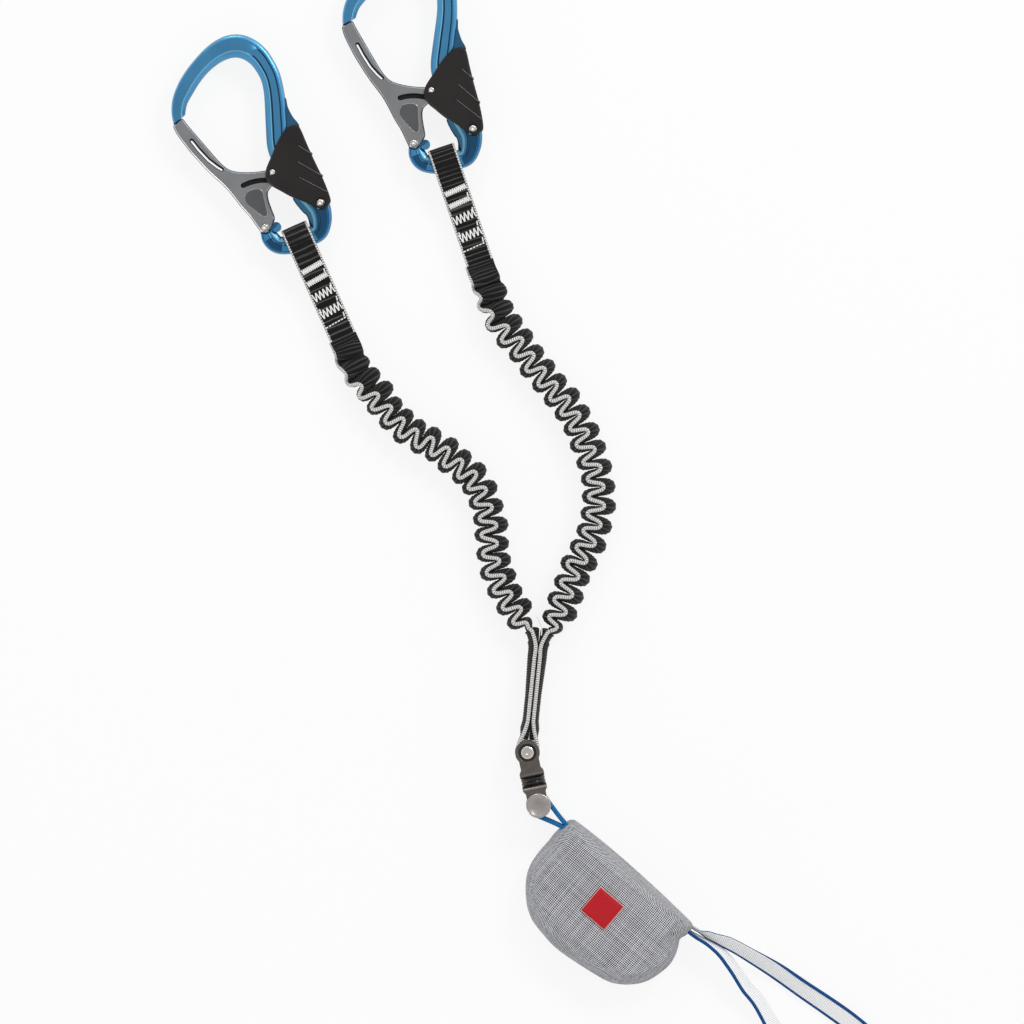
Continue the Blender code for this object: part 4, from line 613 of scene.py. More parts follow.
GATE_PIVOT = at(GATE_PIVOT_SHARE)
LEVER_PIVOT = at(LEVER_PIVOT_SHARE)
LOCK_POINT = at(LOCK_SHARE)
LOCK_RADIUS = math.dist(GATE_PIVOT, LOCK_POINT)
LOCK_ANGLE = math.degrees(math.atan2(LOCK_POINT[1] - GATE_PIVOT[1], LOCK_POINT[0] - GATE_PIVOT[0]))
ARM_REACH = LOCK_RADIUS + ARM_END_WALL + 3 * GAP


def nose_line(x, drop=0.0):
    """Height of the slanted joint between nose and gate at x, or a line parallel to it."""
    (x0, y0), (x1, y1) = (at(s) for s in NOSE_JOINT_SHARES)
    return y0 + (y1 - y0) * (x - x0) / (x1 - x0) - drop


def sized_stations():
    return [
        (*at((across, lengthways)), width * BAR_WIDTH, thickness * BAR_THICKNESS, channel * CHANNEL_DEPTH)
        for across, lengthways, width, thickness, channel in BODY_STATION_SHARES
    ]


def fork_room(bottom, top):
    """The room that the gate's forked foot sweeps as the gate opens."""
    pivot = Vector(GATE_PIVOT)
    foot = [Vector(at(s)) - pivot for s in GATE_SHARES if math.dist(at(s), GATE_PIVOT) < FORK_REACH]
    work = bmesh.new()
    for share in (0.0, 0.5, 1.0):
        turn = Matrix.Rotation(math.radians(-GATE_OPENING_ANGLE * share), 2)
        for point in foot:
            x, y = turn @ (point * (1 + 2 * GAP / point.length)) + pivot
            for z in (bottom, top):
                work.verts.new((x, y, z))
    hull = bmesh.ops.convex_hull(work, input=work.verts)
    inside = {v for v in hull["geom_interior"] + hull["geom_unused"] if isinstance(v, bmesh.types.BMVert)}
    bmesh.ops.delete(work, geom=list(inside), context="VERTS")
    bmesh.ops.dissolve_limit(work, angle_limit=math.radians(1), verts=work.verts, edges=work.edges)
    bmesh.ops.recalc_face_normals(work, faces=work.faces)
    return finished(work, "fork_room")


def carabiner_body_mesh():
    half = BAR_THICKNESS / 2 + CUT_OVERRUN
    web = WEB_THICKNESS / 2
    left = at(NOSE_JOINT_SHARES[0])[0]
    right = at(NOSE_JOINT_SHARES[1])[0]
    foot = at((0, NOSE_FOOT_SHARE))[1]
    below_nose = [(left, foot), (right, foot), (right, nose_line(right)), (left, nose_line(left))]
    tongue_out, tongue_in = (s * CARABINER_LENGTH for s in TONGUE_SHARES)
    tongue = [
        (tongue_out, nose_line(tongue_out, TONGUE_LENGTH)), (tongue_in, nose_line(tongue_in, TONGUE_LENGTH)),
        (tongue_in, nose_line(tongue_in, -TONGUE_LENGTH)), (tongue_out, nose_line(tongue_out, -TONGUE_LENGTH)),
    ]
    gusset = rounded_outline(GUSSET_SHARES)
    body_half = BAR_THICKNESS * BODY_STATION_SHARES[-1][3] / 2
    spring_floor = body_half - LEVER_SPRING_PITCH * LEVER_SPRING_TURNS - LEVER_SPRING_WIRE - GAP
    steps = [
        ("DIFFERENCE", outline_solid([below_nose], -half, half)),
        ("UNION", outline_solid([tongue], -TONGUE_THICKNESS / 2, TONGUE_THICKNESS / 2)),
        ("UNION", outline_solid([gusset], -GUSSET_THICKNESS / 2, GUSSET_THICKNESS / 2)),
        ("UNION", cylinder(HUMP_RADIUS, -body_half, body_half, at(HUMP_SHARE))),
        ("UNION", cylinder(LUG_RADIUS, -web, web, GATE_PIVOT)),
        ("DIFFERENCE", sector(GATE_PIVOT, 0, WEB_RADIUS, *MOUTH_ANGLES, -half, half)),
    ]
    for low, high in ((web, half), (-half, -web)):
        steps.append(("DIFFERENCE", fork_room(low, high)))
        steps.append(("DIFFERENCE", sector(GATE_PIVOT, LUG_RADIUS, ARM_REACH, *SWEEP_ANGLES, low, high)))
    steps.append(("DIFFERENCE", cylinder(RIVET_RADIUS + GAP, -half, half, GATE_PIVOT)))
    steps.append(("DIFFERENCE", cylinder(RIVET_RADIUS + GAP, -half, half, LEVER_PIVOT)))
    spring_room = LEVER_SPRING_RADIUS + LEVER_SPRING_WIRE / 2 + GAP
    steps.append(("DIFFERENCE", cylinder(spring_room, spring_floor, half, LEVER_PIVOT)))
    return shaped(with_painted_shade_and_highlight(loft(body_rings())), steps)


def capsule(points, radius, bottom, top):
    """A slot with round ends along a line of points."""
    path = [Vector(p) for p in points]
    left, right = [], []
    for i, point in enumerate(path):
        run = (path[min(i + 1, len(path) - 1)] - path[max(i - 1, 0)]).normalized()
        side = Vector((-run[1], run[0])) * radius
        left.append(tuple(point + side))
        right.append(tuple(point - side))
    first = math.degrees(math.atan2(*(path[1] - path[0]).yx))
    last = math.degrees(math.atan2(*(path[-1] - path[-2]).yx))
    head = arc(path[-1], radius, last + 90, last - 90, 6)[1:-1]
    tail = arc(path[0], radius, first + 270, first + 90, 6)[1:-1]
    return outline_solid([left + head + right[::-1] + tail], bottom, top)


WINDOW_SLOT_SHARE = 0.42
WINDOW_SLOT_OFFSET_SHARES = (0.1, 0.08)
WINDOW_STEP = 0.0010
POCKET_SLOPE = 0.00045


def dished(outline, slope, floor, face, over):
    """A cutter for a shallow pocket whose walls lean back by this much."""
    rings = []
    count = len(outline)
    turn = 1 if sum(a[0] * b[1] - a[1] * b[0] for a, b in zip(outline, outline[1:] + outline[:1])) > 0 else -1
    for inset, z in ((slope, floor), (0.0, face), (0.0, over)):
        ring = []
        for i, point in enumerate(outline):
            run = (Vector(outline[(i + 1) % count]) - Vector(outline[i - 1])).normalized()
            ring.append((point[0] - run[1] * inset * turn, point[1] + run[0] * inset * turn, z))
        rings.append(ring)
    return loft(rings)


def gate_mesh():
    half = GATE_THICKNESS / 2
    over = half + CUT_OVERRUN
    nose_out, nose_in = (s * CARABINER_LENGTH for s in GATE_NOSE_SHARES)
    start = (nose_out, nose_line(nose_out, NOSE_GAP))
    end = (nose_in, nose_line(nose_in, NOSE_GAP))
    outline = [(p[0], p[1]) for p in thinned(smooth([start, *(at(s) for s in GATE_SHARES), end]))]
    wall = KEYLOCK_WALL_SHARE * CARABINER_LENGTH
    left = at(NOSE_JOINT_SHARES[0])[0]
    depth = NOSE_GAP + TONGUE_LENGTH + KEYLOCK_CLEARANCE
    keylock = [
        (left, nose_line(left, depth)), (wall, nose_line(wall, depth)),
        (wall, nose_line(wall, -TONGUE_LENGTH)), (left, nose_line(left, -TONGUE_LENGTH)),
    ]
    keylock_half = TONGUE_THICKNESS / 2 + KEYLOCK_CLEARANCE
    fork = FORK_SLOT / 2
    window = [at(s) for s in WINDOW_SHARES]
    aside, down = (s * WINDOW_WIDTH for s in WINDOW_SLOT_OFFSET_SHARES)
    window_slot = [(x - aside, y - down) for x, y in window]
    pocket = rounded_outline(POCKET_SHARES)
    hump_reach = math.dist(GATE_PIVOT, at(HUMP_SHARE)) + HUMP_RADIUS + 2 * GAP
    bore = Matrix.Translation((GATE_PIVOT[0], GATE_PIVOT[1], 0)) @ LYING
    steps = [
        ("DIFFERENCE", outline_solid([keylock], -keylock_half, keylock_half)),
        ("DIFFERENCE", capsule(window_slot, WINDOW_WIDTH * WINDOW_SLOT_SHARE / 2, -over, over)),
        ("DIFFERENCE", cylinder(LUG_RADIUS + GAP, -fork, fork, GATE_PIVOT)),
        ("DIFFERENCE", sector(GATE_PIVOT, 0, hump_reach, *LUG_SLOT_ANGLES, -fork, fork)),
        ("DIFFERENCE", sector(GATE_PIVOT, WEB_RADIUS - GAP, 2 * WEB_RADIUS, *FORK_ANGLES, -fork, fork)),
        ("DIFFERENCE", cylinder(RIVET_RADIUS + GAP, -over, over, GATE_PIVOT)),
        ("DIFFERENCE", cylinder(GATE_BORE_RADIUS, 0, GATE_BORE_DEPTH, turn=bore, steps=12)),
    ]
    notch = [
        (GATE_PIVOT[0] + radius * math.cos(math.radians(LOCK_ANGLE)),
         GATE_PIVOT[1] + radius * math.sin(math.radians(LOCK_ANGLE)))
        for radius in (GROOVE_RADIUS, LOCK_RADIUS)
    ]
    groove = arc(GATE_PIVOT, GROOVE_RADIUS, *GROOVE_ANGLES, 8)
    for low, high in ((half - GROOVE_DEPTH, over), (-over, GROOVE_DEPTH - half)):
        steps.append(("DIFFERENCE", capsule(groove, GROOVE_WIDTH / 2, low, high)))
    for low, high in ((0, over), (-over, 0)):
        steps.append(("DIFFERENCE", capsule(notch, GROOVE_WIDTH / 2, low, high)))
    for face in (1, -1):
        low, high = sorted((face * (half - WINDOW_STEP), face * over))
        floor = face * (half - POCKET_DEPTH)
        steps.append(("DIFFERENCE", capsule(window, WINDOW_WIDTH / 2, low, high)))
        steps.append(("DIFFERENCE", dished(pocket, POCKET_SLOPE, floor, face * half, face * over)))
    return shaped(outline_solid([outline], -half, half), steps, bevel=GATE_EDGE)


def lengths_along(points):
    total = [0.0]
    for a, b in zip(points, points[1:]):
        total.append(total[-1] + (b - a).length)
    return total


def spaced(points, spacing):
    """Points at equal distances along a dense line of points, and their directions."""
    total = lengths_along(points)
    count = max(2, round(total[-1] / spacing))
    found = []
    j = 0
    for k in range(count + 1):
        want = total[-1] * k / count
        while j < len(total) - 2 and total[j + 1] < want:
            j += 1
        span = total[j + 1] - total[j]
        found.append(points[j].lerp(points[j + 1], (want - total[j]) / span if span else 0))
    runs = [
        (found[min(i + 1, count)] - found[max(i - 1, 0)]).normalized() for i in range(count + 1)
    ]
    return found, runs, total[-1]


def stem_frame():
    """The stem's foot at the upper pin, its direction to the crotch, its side and its length."""
    foot = Vector((*UPPER_PIN, 0))
    top = Vector((*CROTCH, 0))
    run = (top - foot).normalized()
    return foot, run, Vector((run[1], -run[0], 0)), (top - foot).length


def stem_end(way):
    """Where one strand of the stem turns out to its arm, and its direction there."""
    foot, run, side, length = stem_frame()
    turn = math.radians(STEM_FLARE_ANGLE)
    place = foot + run * (length + STEM_FLARE_LENGTH) + side * (STEM_SPREAD + STEM_FLARE) * way
    return (place[0], place[1]), run * math.cos(turn) + side * math.sin(turn) * way


def clevis_mesh(reach, recess):
    """A bent clevis: two ears on a pin at the origin and a base across +Y, cut from one strip."""
    half_gap = CLEVIS_GAP / 2
    half_out = half_gap + CLEVIS_PLATE
    inner_bend = CLEVIS_BEND - CLEVIS_PLATE
    base = reach - CLEVIS_BASE
    back = -CLEVIS_EAR_RADIUS - CUT_OVERRUN
    strip = [(back, half_out), *reversed(arc((reach - CLEVIS_BEND, half_out - CLEVIS_BEND), CLEVIS_BEND, 0, 90, 5)),
             *reversed(arc((reach - CLEVIS_BEND, CLEVIS_BEND - half_out), CLEVIS_BEND, -90, 0, 5)),
             (back, -half_out), (back, -half_gap),
             *arc((base - inner_bend, inner_bend - half_gap), inner_bend, -90, 0, 3),
             *arc((base - inner_bend, half_gap - inner_bend), inner_bend, 0, 90, 3), (back, half_gap)]
    turn = Matrix(((0, 0, 1, 0), (1, 0, 0, 0), (0, 1, 0, 0), (0, 0, 0, 1)))
    bent = outline_solid([strip], -CLEVIS_WIDTH / 2, CLEVIS_WIDTH / 2, turn)
    neck, width = CLEVIS_NECK / 2, CLEVIS_WIDTH / 2
    join = math.degrees(math.asin(neck / CLEVIS_EAR_RADIUS))
    flare = base - CLEVIS_PLATE
    far = reach + CUT_OVERRUN
    plan = [*arc((0, 0), CLEVIS_EAR_RADIUS, 90 + join, 450 - join, 20), (neck, flare), (width, base), (width, far),
            (-width, far), (-width, base), (-neck, flare)]
    over = half_out + CUT_OVERRUN
    steps = [
        ("INTERSECT", outline_solid([plan], -over, over)),
        ("DIFFERENCE", cylinder(PIN_RADIUS + PIN_CLEARANCE, -over, over)),
        ("DIFFERENCE", cylinder(SWIVEL_RIVET_RADIUS + PIN_CLEARANCE, base / 2, far, turn=LYING)),
    ]
    if recess:
        floor = half_out - UPPER_RECESS_DEPTH
        steps.append(("DIFFERENCE", cylinder(UPPER_RECESS_RADIUS, floor, over)))
        steps.append(("DIFFERENCE", cylinder(UPPER_RECESS_RADIUS, -over, -floor)))
    return shaped(bent, steps)


def pouch_axes():
    angle = math.radians(POUCH_ANGLE)
    lengthways = Vector((math.cos(angle), math.sin(angle), 0))
    return Vector((*POUCH_CORNER, 0)), lengthways, Vector((lengthways[1], -lengthways[0], 0))


def in_pouch(share):
    """A place on the floor, from shares of the pouch's length along its straight edge and across from it."""
    corner, lengthways, across = pouch_axes()
    return corner + (lengthways * share[0] + across * share[1]) * POUCH_LENGTH


def loop_tail(eye, angle):
    """Where the sewn tail of an end loop ends."""
    turn = math.radians(angle)
    return (eye[0] + math.sin(turn) * SEWN_LENGTH, eye[1] - math.cos(turn) * SEWN_LENGTH)


# Looks

WALL_SHADE_STOPS = ((0.0, 0.3), (1.0, 1.0))  # painted shade: how much darker a piece's walls are painted than its faces, from its walls up to its faces
# painted shade for the gate: its walls painted at half strength, and a dark line painted along its edges a little
# below its faces
OUTLINE_SHADE_STOPS = ((0.0, 0.5), (0.25, 0.5), (0.33, 0.05), (0.52, 0.05), (0.66, 1.0))


# Heights of the materials' relief
BRUSHED_RELIEF = 0.00002
GRAIN_RELIEF = 0.00003
THREAD_RELIEF = 0.0001
POUCH_RELIEF = 0.0003
BRAID_RELIEF = 0.0004


def anodised(name, colour, roughness, wall_shade_heights, outline=None):
    """Brushed metal, anodised in this colour under a clear layer, with painted shade that darkens its walls below its
    faces.
    """
    look = Look(name, Metallic=1.0, Roughness=roughness, Coat_Weight=0.22, Coat_Roughness=0.16)
    soft = look.noise(60, 3)
    fine = look.noise(1400, 2)
    height = look.height(LOOP_HEIGHT)
    low, high = wall_shade_heights
    # painted shade: below these heights the walls are painted darker than the faces
    depth = look.add("MapRange", {"Value": height, "From Min": low, "From Max": high}).outputs[0]
    face = look.ramp(depth, outline or WALL_SHADE_STOPS)
    shade = look.ramp(soft, [(0.3, tint(colour, 0.92)), (0.7, tint(colour, 1.08))])
    look.set("Base Color", look.mix(1.0, shade, face, "MULTIPLY"))
    look.set("Roughness", look.math("MULTIPLY_ADD", fine, 0.12, roughness - 0.06))
    look.set("Normal", look.bump(fine, BRUSHED_RELIEF, 0.14))
    return look.material


def nylon(name, crest):
    """Moulded black plastic, with a painted highlight that makes the crests above a height paler."""
    look = Look(name, Roughness=0.45, Specular_IOR_Level=0.32)
    grain = look.noise(2200, 3)
    cloud = look.noise(45, 2)
    shade = look.ramp(cloud, [(0.3, (0.0095, 0.0075, 0.007)), (0.75, (0.0155, 0.0125, 0.012))])
    # painted highlight on the crests
    painted_highlight = look.math("GREATER_THAN", look.height(LOOP_HEIGHT), crest)
    look.set("Base Color", look.mix(painted_highlight, shade, (0.30, 0.29, 0.29)))
    look.set("Roughness", look.math("MULTIPLY_ADD", grain, 0.16, 0.38))
    look.set("Normal", look.bump(grain, GRAIN_RELIEF, 0.5))
    return look.material


def spool_nylon(name):
    """Turned black plastic, almost polished."""
    look = Look(name, Roughness=0.25)
    look.set("Base Color", look.ramp(look.noise(300, 2), [(0.3, (0.006, 0.005, 0.005)), (0.7, (0.011, 0.009, 0.009))]))
    look.set("Roughness", look.math("MULTIPLY_ADD", look.noise(900, 2), 0.12, 0.18))
    return look.material


TURNING_PERIOD = 0.0005


def steel(name, colour, roughness, turned_face=False):
    look = Look(name, Metallic=1.0, Roughness=roughness)
    cloud = look.noise(220, 4)
    scratch = look.noise(900, 3)
    look.set("Base Color", look.ramp(cloud, [(0.25, tint(colour, 0.85)), (0.8, tint(colour, 1.12))]))
    look.set("Roughness", look.math("MULTIPLY_ADD", scratch, 0.18, roughness - 0.09))
    height = scratch
    if turned_face:
        x, y, _ = look.add("SeparateXYZ", {0: look.place()}).outputs
        reach = look.math("SQRT", look.math("ADD", look.math("POWER", x, 2.0), look.math("POWER", y, 2.0)))
        height = look.math("MULTIPLY_ADD", look.wave(reach, TURNING_PERIOD), 0.7, scratch)
    look.set("Normal", look.bump(height, GRAIN_RELIEF, 0.5))
    return look.material


KNIT_PERIOD = 0.0011
KNIT_SLANT = 0.0006
BRAID_SLANT = 0.0011


def webbing(name, low, high, ribs, wander, stops, relief=BRAID_RELIEF, knitted=False):
    """Ribbed narrow webbing: ribs across the strip and a fine weave, with a knit over them where it is asked for."""
    look = Look(name, Roughness=0.8, Sheen_Weight=0.12, Sheen_Roughness=0.5, Specular_IOR_Level=0.2)
    along, across = look.uv()
    moved = look.math("MULTIPLY_ADD", look.noise(170, 2), ribs * wander, along)
    coarse = look.wave(moved, ribs)
    fine = look.wave(moved, ribs * 0.37, 1.3)
    threads = look.wave(across, 0.07)
    body = look.math("MULTIPLY", look.math("POWER", coarse, 3.0), look.math("MULTIPLY_ADD", fine, 0.45, 0.55))
    body = look.math("MULTIPLY", body, look.math("MULTIPLY_ADD", threads, 0.3, 0.7))
    body = look.math("MULTIPLY", body, look.math("MULTIPLY_ADD", look.noise(60, 1), 1.2, 0.4), clamp=True)
    # the ribs' crests are painted paler than their valleys: partly the weave's own pattern, partly a painted highlight
    # on the crests
    shade = look.ramp(body, [(stops[0], low), (stops[1], high)])
    if knitted:
        knit = look.wave(look.math("MULTIPLY_ADD", across, KNIT_SLANT, along), KNIT_PERIOD)
        body = look.math("MULTIPLY_ADD", knit, 0.3, body)
    look.set("Base Color", shade)
    look.set("Normal", look.bump(body, relief, 0.8))
    return look.material


def braid(name, colour, gap, period=0.0013):
    """A woven edge: plump threads laid in chevrons."""
    look = Look(name, Roughness=0.75, Sheen_Weight=0.1, Specular_IOR_Level=0.25)
    along, across = look.uv()
    knit = look.wave(look.math("MULTIPLY_ADD", across, BRAID_SLANT, along), period)
    tone = look.math("MULTIPLY", knit, look.math("MULTIPLY_ADD", look.noise(1100, 2), 0.7, 0.65), clamp=True)
    look.set("Base Color", look.ramp(tone, [(0.05, gap), (0.32, colour)]))
    look.set("Normal", look.bump(knit, BRAID_RELIEF, 0.9))
    return look.material


def thread(name, colour):
    look = Look(name, Roughness=0.6)
    twist = look.noise(1800, 2)
    look.set("Base Color", look.ramp(twist, [(0.3, tint(colour, 0.8)), (0.7, colour)]))
    look.set("Normal", look.bump(twist, THREAD_RELIEF, 0.6))
    return look.material


WEAVE_PERIOD = 0.00110
WEAVE_WANDER = 0.00015
CROWN_WIDTH = 0.012  # over which the weave's lines turn from one side of the pouch to the other
PATCH_WEAVE_PERIOD = 0.0007


def pouch_cloth(name):
    """Grey melange: pale and dark threads in a plain weave, square to the pouch's straight edge."""
    look = Look(name, Roughness=0.85, Sheen_Weight=0.08, Specular_IOR_Level=0.15)
    turned = look.add("Mapping", {"Vector": look.place(), "Rotation": (0, 0, -math.radians(POUCH_ANGLE))}).outputs[0]
    x, y, z = look.add("SeparateXYZ", {0: turned}).outputs
    drift = look.noise(260, 1)
    turn = math.radians(POUCH_ANGLE)
    centre = in_pouch(POUCH_CENTRE_SHARE)
    drop = look.math("SUBTRACT", z, POUCH_THICKNESS)
    threads = []
    for place, middle in ((x, centre.x * math.cos(turn) + centre.y * math.sin(turn)),
                          (y, centre.y * math.cos(turn) - centre.x * math.sin(turn))):
        side = look.math("DIVIDE", look.math("SUBTRACT", middle, place), CROWN_WIDTH)
        side = look.math("MAXIMUM", look.math("MINIMUM", side, 1.0), -1.0)
        down = look.math("MULTIPLY_ADD", side, drop, place)
        threads.append(look.wave(look.math("MULTIPLY_ADD", drift, WEAVE_WANDER, down), WEAVE_PERIOD))
    warp, weft = threads
    streaks = [
        look.noise(1.0, 3.0, look.add("Mapping", {"Vector": turned, "Scale": scale}).outputs[0])
        for scale in ((14, 900, 900), (900, 14, 900))
    ]
    streak = look.math("ADD", *streaks)
    over = look.math("MULTIPLY", look.math("ADD", warp, weft), 0.5)
    tone = look.math("MULTIPLY", over, look.math("MULTIPLY_ADD", streak, 0.55, 0.45))
    look.set("Base Color", look.ramp(tone, [
        (0.28, (0.012, 0.014, 0.024)), (0.50, (0.215, 0.222, 0.25)), (0.74, (0.95, 0.95, 0.98))]))
    look.set("Normal", look.bump(over, POUCH_RELIEF, 0.9))
    return look.material


def patch_cloth(name):
    look = Look(name, Roughness=0.6, Specular_IOR_Level=0.25)
    turned = look.add("Mapping", {"Vector": look.place(), "Rotation": (0, 0, -math.radians(POUCH_ANGLE))}).outputs[0]
    x, y, _ = look.add("SeparateXYZ", {0: turned}).outputs
    weave = look.math("MAXIMUM", look.wave(x, PATCH_WEAVE_PERIOD), look.wave(y, PATCH_WEAVE_PERIOD))
    tone = look.math("MULTIPLY", weave, look.math("MULTIPLY_ADD", look.noise(700, 2), 0.8, 0.5), clamp=True)
    look.set("Base Color", look.ramp(tone, [(0.2, (0.30, 0.003, 0.007)), (0.8, (0.58, 0.010, 0.020))]))
    look.set("Normal", look.bump(weave, THREAD_RELIEF, 0.5))
    return look.material


BLUE = anodised("blue_anodised", (0.085, 0.33, 0.60), 0.33, (0.0022, 0.0038))
# painted shade for the body's grooves and rims, and a painted highlight for its inner chamfer
BLUE_PAINTED_SHADE = anodised("blue_groove_painted_shade", (0.020, 0.10, 0.21), 0.34, (0.0022, 0.0038))
BLUE_PAINTED_HIGHLIGHT = anodised("blue_chamfer_painted_highlight", (0.30, 0.66, 0.88), 0.26, (0.0022, 0.0034))
BLUE_WITH_PAINTED_LIGHT = (BLUE, BLUE_PAINTED_SHADE, BLUE_PAINTED_HIGHLIGHT)
GREY = anodised("grey_anodised", (0.34, 0.345, 0.355), 0.34, (0.0034, 0.0046), OUTLINE_SHADE_STOPS)
# a painted highlight for the gate's chamfers
GREY_PAINTED_HIGHLIGHT = anodised("grey_chamfer_painted_highlight", (0.66, 0.66, 0.68), 0.3, (0.0034, 0.0046), OUTLINE_SHADE_STOPS)
GROOVE = steel("groove_shadow", (0.035, 0.033, 0.033), 0.5)
SPOOL = spool_nylon("washer_nylon")
LEVER_BLACK = nylon("black_lever_nylon", LEVER_HALF + 0.7 * RIDGE_HEIGHT)
BRIGHT = steel("bright_steel", (0.78, 0.76, 0.72), 0.2)
STEEL = steel("brushed_steel", (0.185, 0.165, 0.148), 0.32)
# painted shade for the floor of the upper clevis's recess round its pin
RECESS_PAINTED_SHADE = steel("recess_painted_shade", (0.07, 0.06, 0.055), 0.4)
CAP = steel("pin_cap_steel", (0.52, 0.475, 0.46), 0.28, turned_face=True)
SPRING = steel("spring_steel", (0.45, 0.45, 0.45), 0.3)
BUSH = steel("bearing_bush", (0.30, 0.27, 0.22), 0.35)
ARM_RIB = 0.0015
LOOP_RIBS = {"left": 0.0040, "right": 0.0029}
# on the black webbings the pale rib crests are partly a painted highlight
LOOP_BLACK = {side: webbing(f"{side}_black_webbing", (0.0035, 0.0033, 0.0035), (0.13, 0.12, 0.115), ribs,
                            wander=0.25, stops=(0.25, 0.95)) for side, ribs in LOOP_RIBS.items()}
ARM_BLACK = webbing("black_gathered_webbing", (0.0040, 0.0036, 0.0036), (0.070, 0.066, 0.064), ARM_RIB, wander=0.3,
                    stops=(0.15, 0.8))
WHITE_STRIP = webbing("white_webbing", (0.70, 0.71, 0.73), (1.0, 1.0, 1.0), 0.00116, 0.1, (0.0, 0.03),
                      relief=0.00008, knitted=True)
BRAID = braid("white_braid", (0.86, 0.85, 0.83), (0.16, 0.15, 0.145))
LOOP_BRAID = braid("white_loop_braid", (0.84, 0.83, 0.82), (0.10, 0.10, 0.10), 0.0016)
BLUE_BRAID = braid("blue_braid", (0.004, 0.20, 0.50), (0.0, 0.05, 0.20), 0.0015)
NAVY_BRAID = braid("deep_blue_braid", (0.0, 0.085, 0.31), (0.0, 0.03, 0.14), 0.0015)
PACK_WEBBING = braid("pack_webbing", (0.78, 0.79, 0.81), (0.5, 0.51, 0.53), 0.0020)
WHITE_THREAD = thread("white_thread", (0.95, 0.95, 0.93))
PALE_THREAD = thread("pale_thread", (0.80, 0.55, 0.50))
POUCH = pouch_cloth("pouch_weave")
PATCH = patch_cloth("red_patch")


# Pieces

def show(name, mesh, paint, body, stands_for=(), matrix=None, sharp=32.0, round_edges=0.0):
    """A shown piece: placed, painted, riding on its body and standing for its CAD nodes."""
    obj = linked(name, mesh)
    if matrix is not None:
        mesh.transform(matrix)
    if paint is not BLUE:
        mesh.materials.clear()
        mesh.materials.append(paint)
    mesh.shade_smooth()
    mesh.set_sharp_from_angle(angle=math.radians(sharp))
    if round_edges:
        edge = obj.modifiers.new("edge", "BEVEL")
        edge.width = round_edges
        edge.segments = 2
        edge.limit_method = "ANGLE"
        edge.angle_limit = math.radians(38)
        edge.harden_normals = False
    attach(obj, body)
    if stands_for:
        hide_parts(*stands_for)
    return obj


def paint_node(node, paint):
    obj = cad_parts[node]
    obj.data.materials.clear()
    obj.data.materials.append(paint)
    for face in obj.data.polygons:
        face.material_index = 0


LEVEL_SLACK = 0.00002
LEVEL_NORMAL = 0.99
CHAMFER_NORMALS = (0.55, 0.85)


def paint_faces(obj, paint, chosen):
    obj.data.materials.append(paint)
    for face in obj.data.polygons:
        if chosen(face):
            face.material_index = len(obj.data.materials) - 1


def paint_floors(obj, paint, middle, depths):
    """Paint the flat floors of a piece's grooves, at these heights from its middle plane."""
    paint_faces(obj, paint, lambda face: abs(face.normal.z) > LEVEL_NORMAL and any(
        abs(abs(face.center.z - middle) - depth) < LEVEL_SLACK for depth in depths))


def paint_chamfers(obj, paint):
    """Paint the faces that lean by about 45 degrees."""
    low, high = CHAMFER_NORMALS
    paint_faces(obj, paint, lambda face: low < abs(face.normal.z) < high)


def skin(rows):
    """A skin over rings of (place, along, across), with those two kept for the material."""
    mesh = bpy.data.meshes.new("skin")
    count = len(rows[0])
    points = [p for row in rows for p, _, _ in row]
    faces, marks = [], []
    for i in range(len(rows) - 1):
        for j in range(count):
            k = (j + 1) % count
            corners = ((i, j), (i, k), (i + 1, k), (i + 1, j))
            faces.append([a * count + b for a, b in corners])
            marks += [(rows[a][b][1], rows[a][b][2]) for a, b in corners]
    for i, order in ((0, range(count - 1, -1, -1)), (len(rows) - 1, range(count))):
        faces.append([i * count + j for j in order])
        marks += [(rows[i][j][1], rows[i][j][2]) for j in order]
    mesh.from_pydata([tuple(p) for p in points], [], faces)
    layer = mesh.uv_layers.new(name="strip")
    layer.data.foreach_set("uv", [v for mark in marks for v in mark])
    work = bmesh.new()
    work.from_mesh(mesh)
    bmesh.ops.recalc_face_normals(work, faces=work.faces)
    work.to_mesh(mesh)
    work.free()
    return mesh


RIB_RELIEF = 0.00016
KNOT_PERIOD = 0.0013
KNOT_RELIEF = 0.16
EDGE_STEPS = 12
BELLY_FULLNESS = 0.0050
EDGE_WIDTH = 0.0024
EDGE_HEIGHT = 0.0024
EDGE_PLACES = (0.98, -0.87)  # of the two woven edges, as shares of half the webbing's width
WEB_MARK_SHARE = 0.8
PLEAT_UNEVENNESS = 0.10
PLEAT_NOISE_SCALE = 90
PLEAT_NOISE_SHIFT = 7.3
HEIGHT_SHARES = (-1.0, -0.9, -0.72, -0.48, -0.2, 0.1, 0.38, 0.62, 0.82, 0.94, 1.0)
STRIP_SHARES = (  # across and through the strip, round one half of its section
    (-1.00, 0.30), (-0.985, 0.72), (-0.94, 0.96), (-0.84, 1.00), (-0.80, 0.93), (-0.60, 0.96), (-0.30, 1.00),
    (0.00, 1.00), (0.30, 1.00), (0.60, 0.96), (0.80, 0.93), (0.84, 1.00), (0.94, 0.96), (0.985, 0.72), (1.00, 0.30),
)


